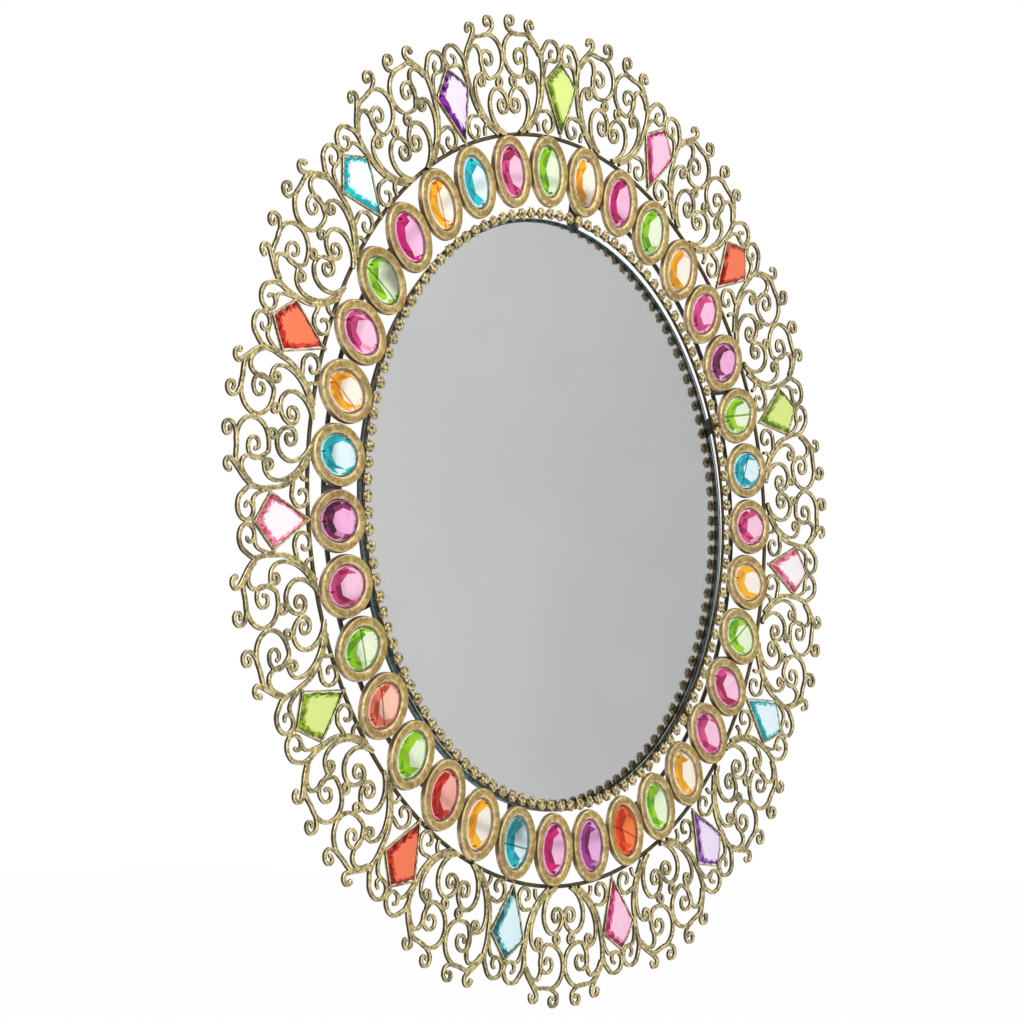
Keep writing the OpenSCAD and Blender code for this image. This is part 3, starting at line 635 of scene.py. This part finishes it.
buildOvalSettings()
print("oval settings made")


# The oval stones, each cut a little differently and with a sewing hole at each end
ovalStone = {
    "length": 43.6, "width": 32.2, "seat": 1.02, "girdle": 0.45, "rim": 2.3, "edge": 1.3, "top": 4.33,
    "holeInset": 3.8, "hole": 1.0, "sides": 16, "backShare": 0.93, "bevelShare": 0.945, "bevelRise": 0.4,
    "shoulderShare": 0.8, "shoulderRise": 0.76, "shoulderSides": (8, 9, 10), "shoulderShift": 0.3,
    "tableShare": (0.6, 0.68), "tableSides": (6, 7, 8), "tableShift": (0.75, 1.1),
    "shift": 2.9, "lengthwise": 1.35, "barWidth": 1.8, "barShare": 0.38, "barAway": 3,
}
# Painted light and shade of its faces, from 0 pale to 1 deep: fixed, between two limits, or one of several
ovalLightAndShade = {
    "hole": 1.0, "bar": 0.8, "wall": 0.3, "back": (0.0, 0.12), "edge": (0.0, 0.08),
    "left": (0.5, 0.55, 0.62, 0.85, 1.0), "between": (0.1, 0.3, 0.5, 0.62),
    "right": (0.08, 0.2, 0.34, 0.5),
}
# Colours of the stones, clockwise from the first setting
ovalOrder = (
    "magenta amber cyan pink lime amber magenta "
    "lime amber pink plum lime cyan pink "
    "amber lime pink pink amber lime red "
    "orchid magenta cyan amber red lime salmon "
    "lime pink plum cyan amber pink lime").split()
# Stones of a node's colour that have a tint of their own
ownTint = {20: "tangerine"}


def ellipseRing(bm, share, height, phase, sides, shift=Vector((0, 0, 0))):
    # a ring of loose points for the hull of a cut stone
    for i in range(sides):
        a = 2 * math.pi * (i + phase) / sides
        x = ovalStone["width"] / 2 * share * math.cos(a)
        y = ovalStone["length"] / 2 * share * math.sin(a)
        bm.verts.new(Vector((x, y, height)) + shift)


def holeAway():
    return ovalStone["length"] / 2 - ovalStone["holeInset"]


def drillMesh():
    bm = bmesh.new()
    r = ovalStone["hole"]
    for side in (1, -1):
        made = bmesh.ops.create_cone(bm, cap_ends=True, segments=10, radius1=r, radius2=r, depth=20)
        bmesh.ops.translate(bm, vec=(0, side * holeAway(), 0), verts=made["verts"])
    return toMesh(bm, "drill")


def drilled(mesh, drill):
    stone = newObject("stoneBlank", mesh)
    tool = newObject("drill", drill)
    cut = stone.modifiers.new("hole", "BOOLEAN")
    cut.object = tool
    cut.solver = "EXACT"
    bpy.context.view_layer.update()
    result = bpy.data.meshes.new_from_object(stone.evaluated_get(bpy.context.evaluated_depsgraph_get()))
    bpy.data.objects.remove(stone)
    bpy.data.objects.remove(tool)
    return result


def cutOvalStone(index, drill):
    # returns the stone's mesh, its bar across the back as (place, direction), and the right of the frame
    settings = ovalStone
    random.seed(300 + index)
    a = math.radians(ovalAngle(index))
    rightward = Vector((math.cos(a), math.sin(a), 0))
    # the table sits to the right, further along the stone's length than across it
    aside = Vector((rightward.x, rightward.y * settings["lengthwise"], 0)) * settings["shift"]
    rim, crown, sides = settings["rim"], settings["top"] - settings["rim"], settings["sides"]
    bm = bmesh.new()
    ellipseRing(bm, settings["backShare"], 0.0, 0.5, sides)
    ellipseRing(bm, 1.0, settings["girdle"], 0.0, sides)
    ellipseRing(bm, 1.0, rim, 0.0, sides)
    ellipseRing(bm, settings["bevelShare"], rim + crown * settings["bevelRise"], 0.0, sides)
    ellipseRing(bm, settings["shoulderShare"], rim + crown * settings["shoulderRise"], random.random(),
                random.choice(settings["shoulderSides"]), aside * settings["shoulderShift"])
    ellipseRing(bm, random.uniform(*settings["tableShare"]), settings["top"], random.random(),
                random.choice(settings["tableSides"]), aside * random.uniform(*settings["tableShift"]))
    bmesh.ops.convex_hull(bm, input=bm.verts)
    bmesh.ops.dissolve_limit(bm, angle_limit=math.radians(1), verts=bm.verts, edges=bm.edges)
    barAngle = random.uniform(-0.6, 0.6) + random.choice((0.2, 1.4))
    across = Vector((math.cos(barAngle), math.sin(barAngle), 0))
    barPlace = across * random.uniform(-settings["barAway"], settings["barAway"])
    for side in (-1, 1):
        back = [face for face in bm.faces if face.normal.z < -0.99]
        geom = back + list({edge for face in back for edge in face.edges})
        geom += list({vert for face in back for vert in face.verts})
        edgeOfBar = barPlace + across * side * settings["barWidth"] / 2
        bmesh.ops.bisect_plane(bm, geom=geom, plane_co=edgeOfBar, plane_no=across)
    bar = (barPlace, across) if random.random() < settings["barShare"] else None
    return drilled(toMesh(bm, "stone"), drill), bar, rightward


def paintedStoneLight(face, bar, rightward):
    # painted light and shade: deep colour on the facets that face left and in the sewing holes, pale on the
    # flat face and along the very edge
    normal, centre = face.normal, face.calc_center_median()
    toHole = math.hypot(centre.x, abs(centre.y) - holeAway())
    if abs(normal.z) < 0.1 and toHole < ovalStone["hole"] * 1.2:
        return ovalLightAndShade["hole"]
    if normal.z < -0.9:
        if bar and abs((centre - bar[0]).dot(bar[1])) < ovalStone["barWidth"] * 0.45:
            return ovalLightAndShade["bar"]
        return random.uniform(*ovalLightAndShade["back"])
    if centre.z > ovalStone["top"] - 0.05:
        return 0.0
    if normal.z < 0.15:
        return ovalLightAndShade["wall"]
    if max(vert.co.z for vert in face.verts) < ovalStone["rim"] + ovalStone["edge"]:
        return random.uniform(*ovalLightAndShade["edge"])
    leftward = -normal.to_2d().normalized().dot(rightward.to_2d())
    side = "left" if leftward > 0.2 else "between" if leftward > -0.45 else "right"
    return random.choice(ovalLightAndShade[side])


def paintFaces(bm, faces, tones):
    # red is the painted light and shade of a face, green is 1 on the frosted back
    layer = bm.loops.layers.float_color.get("cut") or bm.loops.layers.float_color.new("cut")
    for face, tone in zip(faces, tones):
        frost = 1.0 if face.normal.z < -0.9 else 0.0
        for loop in face.loops:
            loop[layer] = (tone, frost, 0, 1)


def buildOvalStones():
    drill = drillMesh()
    for colour in sorted(set(ovalOrder)):
        whole = bmesh.new()
        materials = [acrylic[colour]]
        for index, name in enumerate(ovalOrder):
            if name != colour:
                continue
            mesh, bar, rightward = cutOvalStone(index, drill)
            bm = bmesh.new()
            bm.from_mesh(mesh)
            bm.normal_update()
            random.seed(400 + index)
            paintFaces(bm, bm.faces, [paintedStoneLight(face, bar, rightward) for face in bm.faces])
            turned = Matrix.Rotation(math.radians(random.uniform(-1.0, 1.0)), 4, "Z")
            stone = toMesh(bm, "ovalStone")
            place = onFrame(ovalAngle(index), oval["radius"], oval["back"] + ovalStone["seat"]) @ turned
            _, faces = stamp(whole, stone, place)
            if index in ownTint:
                materials.append(acrylic[ownTint[index]])
                for face in faces:
                    face.material_index = len(materials) - 1
        name, node = "ovalStones" + colour.capitalize(), "oval_stones_" + colour
        addPiece(name, whole, materials, node, shadeSmooth=False)


buildOvalStones()
print("oval stones made")


# The kite stones, in settings bent from strip
def kiteCorners(grow):
    # corners of a kite grown all round, y from its widest place
    half = kite["width"] / 2
    low = math.atan2(half, kite["wide"] - kite["tip"])
    high = math.atan2(half, kite["top"] - kite["wide"])
    tip = kite["tip"] - grow / math.sin(low)
    top = kite["top"] + grow / math.sin(high)
    wide = (tip * math.tan(low) + top * math.tan(high)) / (math.tan(low) + math.tan(high))
    reach = (wide - tip) * math.tan(low)
    corners = ((0, tip), (reach, wide), (0, top), (-reach, wide))
    return [Vector((x, y - kite["wide"])) for x, y in corners]


def kiteRing(grow, start, ragged):
    # points round a kite with bowed sides, every second one drawn in
    corners = kiteCorners(grow)
    points = []
    for side in range(4):
        a, b = corners[side], corners[(side + 1) % 4]
        for i in range(kite["cuts"]):
            t = (i + start) / kite["cuts"]
            p = a.lerp(b, t)
            outward = p.normalized() * 4 * kite["bow"] * t * (1 - t)
            draw = p.normalized() * ragged * ((i % 2) + random.uniform(-0.25, 0.35))
            points.append(p + outward - draw)
    return points


def buildKiteStone(seed):
    random.seed(seed)
    rim, crown, facet = kite["rim"], kite["crown"], kite["facet"]
    # growth, start and height of each ring of points, from the back up
    rings = ((-kite["backInset"], 0.0, 0.0), (0.0, 0.0, kite["girdle"]), (0.0, 0.0, rim),
             (-facet * kite["ridgeShare"], 0.5, rim + crown * kite["ridgeRise"]), (-facet, 0.0, rim + crown))
    levels = []
    for (grow, start, height), ragged in zip(rings, kite["ragged"]):
        levels.append((kiteRing(grow, start, ragged), height))
    bm = bmesh.new()
    count = len(levels[0][0])
    bmesh.ops.create_circle(bm, cap_ends=False, segments=count, radius=1)
    ring, edges = list(bm.verts), list(bm.edges)
    bottom = edges
    for level, (points, height) in enumerate(levels):
        if level:
            grown = bmesh.ops.extrude_edge_only(bm, edges=edges)["geom"]
            verts = set(ofKind(grown, bmesh.types.BMVert))
            edges = [edge for edge in ofKind(grown, bmesh.types.BMEdge) if set(edge.verts) <= verts]
            follow = {}
            for vert in verts:  # each new point stands on the old one that it grew from
                for edge in vert.link_edges:
                    other = edge.other_vert(vert)
                    if other in ring:
                        follow[ring.index(other)] = vert
            ring = [follow[i] for i in range(count)]
        for vert, point in zip(ring, points):
            vert.co = (point.x, point.y, height)
    bmesh.ops.contextual_create(bm, geom=edges)
    bmesh.ops.contextual_create(bm, geom=bottom)
    walls = [face for face in bm.faces if len(face.verts) == 4]
    bmesh.ops.triangulate(bm, faces=walls, quad_method="SHORT_EDGE")
    bmesh.ops.recalc_face_normals(bm, faces=bm.faces)
    tones = []
    # an extrusion's faces come in any order, so they are put in order of place before the random draws
    faces = sorted(bm.faces, key=lambda face: [round(c, 3) for c in face.calc_center_median()])
    # painted light and shade: pale on the table and back, middling on the walls, deep on the lower facets of
    # the rim
    for face in faces:
        if abs(face.normal.z) > 0.97:
            tones.append(0.0)
        elif abs(face.normal.z) < 0.2:
            tones.append(kite["wallTone"])
        elif face.calc_center_median().z > rim + crown * kite["upperRise"]:
            tones.append(random.choice(kite["upperTones"]))
        else:
            tones.append(random.choice(kite["lowerTones"]))
    paintFaces(bm, faces, tones)
    return toMesh(bm, "kiteStone")


def buildKites():
    walls = bmesh.new()
    drops = bmesh.new()
    corners = kiteCorners(kite["wallOut"])
    line = []
    for i in range(4):
        a, b = corners[i], corners[(i + 1) % 4]
        line += [a.lerp(b, t).to_3d() for t in kite["wallSteps"]]
    w, h = kite["wall"] / 2, kite["wallHeight"] / 2
    worn, cut = kite["wallRound"], kite["wallCut"]
    rounded = [(w, h - worn), (w - cut, h - cut), (w - worn, h)]
    strip = [(-w, -h), (w, -h)] + rounded + [(-x, y) for x, y in reversed(rounded)]
    wallMesh = sweep("kiteWall", [(line, [1.0] * len(line))], strip, closed=True)
    drop = blobMesh("solderDrop", 2, (1, 1, 0.75), 0.35, 8.0)
    for index, colour in enumerate(kiteOrder):
        angle = kiteAngle(index)
        bm = bmesh.new()
        place = onFrame(angle, kite["wide"], kite["back"] + kite["gap"])
        stamp(bm, buildKiteStone(500 + index * 7), place)
        name, node = "kiteStone%02d" % (index + 1), "kite_stone_%02d" % (index + 1)
        tint = acrylic[kiteTints.get(colour, colour)]
        addPiece(name, bm, [tint], node, shadeSmooth=False)
        stamp(walls, wallMesh, onFrame(angle, kite["wide"], kite["wallDepth"]))
        random.seed(800 + index)
        place = onFrame(angle, kite["wide"], kite["wallDepth"] + kite["blobRise"])
        for corner in kiteCorners(kite["wallOut"] + kite["blobOut"]):
            addDrop(drops, drop, place, corner.x, corner.y, kite["blob"] * random.uniform(0.8, 1.25))
    bmesh.ops.recalc_face_normals(walls, faces=walls.faces)
    addPiece("kiteSettings", walls, [antiqueBrass], "kite_settings")
    addPiece("kiteSolder", drops, [solderBrass])


buildKites()
print("kite stones made")


# Solder where the oval settings touch the outer ring, and brazing on the panels
solder = {
    "aside": (2.0, 4.5), "out": (-0.8, 0.2), "size": (0.9, 1.5), "brazeRise": 0.7, "brazeStray": (-0.4, 0.4),
    "brazeSize": (0.8, 1.35),
}


def buildSolder():
    drop = blobMesh("ringDrop", 2, (1, 1, 0.7), 0.4, 12.0)
    bm = bmesh.new()
    for index in range(oval["count"]):
        random.seed(900 + index)
        place = onFrame(ovalAngle(index), oval["radius"] + oval["length"] / 2, oval["back"])
        for side in (-1, 1):
            x, y, size = [random.uniform(*solder[key]) for key in ("aside", "out", "size")]
            addDrop(bm, drop, place, side * x, y, size)
    addPiece("ringSolder", bm, [solderBrass])
    bm = bmesh.new()
    for index in range(panel["count"]):
        random.seed(950 + index)
        half = panelHalf(index)
        place = onFrame(kiteAngle(index) + half, panel["ringRadius"], panel["depth"] + solder["brazeRise"])
        for side in (-1, 1):
            for point in brazedJoints:
                spot = fanned(Vector((side * point[0], point[1], 0)), half)
                x, y = [c + random.uniform(*solder["brazeStray"]) for c in spot.xy]
                addDrop(bm, drop, place, x, y, random.uniform(*solder["brazeSize"]))
    addPiece("panelBrazing", bm, [antiqueBrass])


buildSolder()
print("solder made")


# The beads, cast like small berries
bead = {
    "count": 118, "radius": 244.5, "depth": 22.6, "size": 12.0, "thick": 6.2, "kinds": 5,
    "grains": 17, "golden": 2.399963, "grainReach": 2.05, "lump": 0.34, "creviceShadeAndPatina": 1.25, "creviceFalloff": 2.1,
}


def beadKind(kind):
    # grains spread evenly over a ball, by the golden angle
    spots = []
    for i in range(bead["grains"]):
        z = 1 - 2 * (i + 0.5) / bead["grains"]
        a = i * bead["golden"] + kind
        r = math.sqrt(1 - z * z)
        spots.append(Vector((r * math.cos(a), r * math.sin(a), z)))
    random.seed(1100 + kind)
    heights = [random.uniform(0.5, 1.0) for _ in spots]
    reach = bead["grainReach"] / math.sqrt(bead["grains"])
    bm = bmesh.new()
    bmesh.ops.create_icosphere(bm, subdivisions=3, radius=1)
    layer = bm.verts.layers.float.new("shadeAndPatina")
    for vert in bm.verts:
        swell = 0.0
        for spot, height in zip(spots, heights):
            share = max(0.0, 1 - ((vert.co - spot).length / reach) ** 2)
            swell = max(swell, height * share)
        # painted shade and patina both: darker between the grains, lighter on their tops
        vert[layer] = clamped(bead["creviceShadeAndPatina"] - bead["creviceFalloff"] * swell)  # patina lies between the grains
        vert.co *= 1 - bead["lump"] * (1 - swell)
    bmesh.ops.scale(bm, vec=(bead["size"] / 2, bead["size"] / 2, bead["thick"] / 2), verts=bm.verts)
    return toMesh(bm, "bead", True)


def buildBeads():
    kinds = [beadKind(kind) for kind in range(bead["kinds"])]
    bm = bmesh.new()
    for index in range(bead["count"]):
        random.seed(1000 + index)
        place = onFrame(index * 360 / bead["count"], bead["radius"], bead["depth"])
        stamp(bm, random.choice(kinds), place @ Matrix.Rotation(random.uniform(0, 6.28), 4, "Z"))
    addPiece("beads", bm, [beadBrass], "beads")


buildBeads()
print("beads made")


# The mirror: a glass pane with a ground edge, and the silver behind it
glass = {
    "radius": 245.3, "drop": 4.0, "back": 12.0, "front": 16.0, "edge": 0.8, "bevel": 3.2, "bevelDrop": 0.6,
    "segments": 256, "silver": 0.04, "silverInset": 1.2, "gap": 0.05,
    "pane": {"Base Color": (0.962, 0.968, 0.967, 1), "Transmission Weight": 1.0, "IOR": 1.5},
    "ground": {"Transmission Weight": 0.3},
    "silvering": {"Metallic": 1.0, "Roughness": 0.01},
    # each pair of tones is mixed by a noise
    # the small rounds are pale ground glass with a painted highlight
    "edgeHighlightTones": ((0.1, 0.2, 0.19, 1), (0.34, 0.48, 0.47, 1)),
    # the bevel's dark teal is the green of thick glass with a painted reflection of the edge seen through
    # the pane
    "bevelReflectionTones": ((0.008, 0.036, 0.036, 1), (0.06, 0.16, 0.155, 1)),
    "silverTones": ((0.541, 0.539, 0.54, 1), (0.568, 0.566, 0.567, 1)),
}


def groundMaterial(name, tones):
    material, tree, shader = newMaterial(name)
    grind = noiseAt(tree, put(tree, "TexCoord"), 160.0, 5.0, 0.7)
    tint = mixColor(tree, band(tree, grind, 0.35, 0.7), *tones)
    fill(tree, shader, {"Base Color": tint, "Roughness": band(tree, grind, 0.3, 0.7, 0.18, 0.4)})
    fill(tree, shader, glass["ground"])
    return material


def glassMaterials():
    pane, tree, shader = newMaterial("paneGlass")
    wipes = noiseAt(tree, put(tree, "TexCoord"), 25.0)
    fill(tree, shader, {"Roughness": band(tree, wipes, 0.45, 0.8, 0.0, 0.02)})
    fill(tree, shader, glass["pane"])
    edge = groundMaterial("groundEdgeHighlight", glass["edgeHighlightTones"])
    bevel = groundMaterial("groundBevelReflection", glass["bevelReflectionTones"])
    silver, tree, shader = newMaterial("silvering")
    clouds = noiseAt(tree, put(tree, "TexCoord"), 6.0, 2.0)
    fill(tree, shader, {"Base Color": mixColor(tree, band(tree, clouds, 0.35, 0.7), *glass["silverTones"])})
    fill(tree, shader, glass["silvering"])
    return [pane, edge, paneEdgeShade, bevel], silver


def discBlock(radius, height):
    # a plain round block, and what its extrusion added
    bm = bmesh.new()
    bmesh.ops.create_circle(bm, cap_ends=True, segments=glass["segments"], radius=radius)
    grown = bmesh.ops.extrude_face_region(bm, geom=bm.faces[:])["geom"]
    bmesh.ops.translate(bm, vec=(0, 0, height), verts=ofKind(grown, bmesh.types.BMVert))
    return bm, grown


def buildGlass():
    paneParts, silver = glassMaterials()
    r, gap = glass["radius"], glass["gap"]
    bm, grown = discBlock(r, glass["front"] - glass["back"] - gap)
    front = ofKind(grown, bmesh.types.BMFace)
    bmesh.ops.inset_region(bm, faces=front, thickness=glass["bevel"], use_even_offset=True)
    outer = {vert for vert in bm.verts if vert.co.z > 1 and vert.co.to_2d().length > r - glass["bevel"] / 2}
    bmesh.ops.translate(bm, vec=(0, 0, -glass["bevelDrop"]), verts=list(outer))
    rims = [line for line in bm.edges if set(line.verts) <= outer]
    bmesh.ops.bevel(
        bm, geom=rims, offset=glass["edge"], affect="EDGES", segments=2, profile=0.5, material=-1)
    bmesh.ops.recalc_face_normals(bm, faces=bm.faces)
    # the edge wall takes painted shade, the bevel a painted reflection and the small rounds a painted
    # highlight
    for face in bm.faces:  # clear faces, painted edge, bevel, and the small rounds between them
        flat = abs(face.normal.z)
        face.material_index = 0 if len(face.verts) > 8 else 2 if flat < 0.1 else 3 if flat > 0.97 else 1
    bmesh.ops.transform(bm, matrix=onFrame(0, -glass["drop"], glass["back"] + gap), verts=bm.verts)
    addPiece("mirrorPane", bm, paneParts, "mirror_glass", shadeSmooth=False)
    bm, _ = discBlock(r - glass["silverInset"], glass["silver"])
    bmesh.ops.recalc_face_normals(bm, faces=bm.faces)
    bmesh.ops.transform(bm, matrix=onFrame(0, -glass["drop"], glass["back"]), verts=bm.verts)
    addPiece("mirrorSilvering", bm, [silver], "mirror_glass", shadeSmooth=False)


buildGlass()
print("mirror made")


# The pieces that keep their solid take a finish
def finishNodes():
    finishes = (
        (stainedBoard, ("backing_board",)),
        (bumperRubber, ("bumpers",)),
        (ringBrass, ("bead_wire", "outer_ring")),
        (blackSteel, ("rear_hoop", "standoff_posts", "retaining_tabs")),
        (zincSteel, ("board_screws", "hanger_strap_left", "hanger_strap_right")),
        (zincSteel, ("d_ring_left", "d_ring_right")),
    )
    for material, names in finishes:
        for name in names:
            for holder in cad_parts[name].material_slots:
                holder.material = material


finishNodes()
print("finishes given")


# Stage: pale floor, white backdrop from the world, soft lamps
stage = {
    "floor": -0.6, "floorSize": 9.0, "ambient": 0.6, "glow": 0.97, "dimSky": 0.34,
    "fadeFrom": 0.74, "fadeTo": 0.86, "fadeBright": 1.049, "fadeDim": 0.743,
}
lamps = [
    {"name": "keyLamp", "place": (-1.9, -2.3, 2.2), "size": 1.6, "power": 55},
    {"name": "fillLamp", "place": (1.4, -1.7, 2.5), "size": 1.6, "power": 22},
    {"name": "backLamp", "place": (0.6, 2.2, 1.6), "size": 1.6, "power": 22},
]


def seenByLook(tree):
    # what the camera, mirror and glass look at takes the white of the backdrop
    rays = put(tree, "LightPath")
    shown = reckon(tree, "ADD", rays.outputs["Is Camera Ray"], rays.outputs["Is Glossy Ray"])
    return reckon(tree, "ADD", shown, rays.outputs["Is Transmission Ray"]), rays


def buildFloor():
    bm = bmesh.new()
    bmesh.ops.create_grid(bm, x_segments=1, y_segments=1, size=stage["floorSize"])
    bmesh.ops.translate(bm, vec=(0, 0, stage["floor"]), verts=bm.verts)
    floor = newObject("floor", toMesh(bm, "floor"))
    material, tree, shader = newMaterial("paleFloor")
    fill(tree, shader, {"Base Color": (0.95, 0.95, 0.95, 1), "Roughness": 0.9})
    shown, _ = seenByLook(tree)
    glow = put(tree, "Emission", {"Color": (1, 1, 1, 1), "Strength": 1.0})
    share = reckon(tree, "MULTIPLY", shown, stage["glow"])
    blend = put(tree, "MixShader", {0: share, 1: shader.outputs[0], 2: glow.outputs[0]})
    tree.links.new(blend.outputs[0], tree.nodes["Material Output"].inputs["Surface"])
    floor.data.materials.append(material)


def buildWorld():
    # white all round, with a dimmer ceiling, ground and right-hand end for what shines
    world = bpy.data.worlds.new("studio")
    bpy.context.scene.world = world
    world.use_nodes = True
    tree = world.node_tree
    ambient = tree.nodes["Background"]
    fill(tree, ambient, {"Color": (1, 1, 1, 1), "Strength": stage["ambient"]})
    shown, rays = seenByLook(tree)
    where = put(tree, "TexCoord")
    toward = put(tree, "SeparateXYZ", {0: where.outputs["Generated"]})
    dim = band(tree, reckon(tree, "ABSOLUTE", toward.outputs["Z"]), 0.22, 0.65)
    dim = reckon(tree, "MULTIPLY", dim, rays.outputs["Is Glossy Ray"])
    color = mixColor(tree, dim, (1, 1, 1, 1), (stage["dimSky"],) * 3 + (1,))
    fades = [stage[key] for key in ("fadeFrom", "fadeTo", "fadeBright", "fadeDim")]
    fade = band(tree, toward.outputs["X"], *fades)
    strength = put(tree, "Mix", {0: rays.outputs["Is Glossy Ray"], 2: 1.0, 3: fade}, data_type="FLOAT")
    white = put(tree, "Background", {"Color": color, "Strength": strength.outputs[0]})
    blend = put(tree, "MixShader", {0: shown, 1: ambient.outputs[0], 2: white.outputs[0]})
    tree.links.new(blend.outputs[0], tree.nodes["World Output"].inputs["Surface"])


def addLamps():
    for lamp in lamps:
        data = bpy.data.lights.new(lamp["name"], "AREA")
        data.energy = lamp["power"]
        data.size = lamp["size"]
        holder = newObject(lamp["name"], data)
        holder.location = lamp["place"]
        holder.rotation_euler = (-Vector(lamp["place"])).to_track_quat("-Z", "Y").to_euler()


buildFloor()
buildWorld()
addLamps()
bpy.context.scene.view_settings.view_transform = "Standard"
print("stage set")
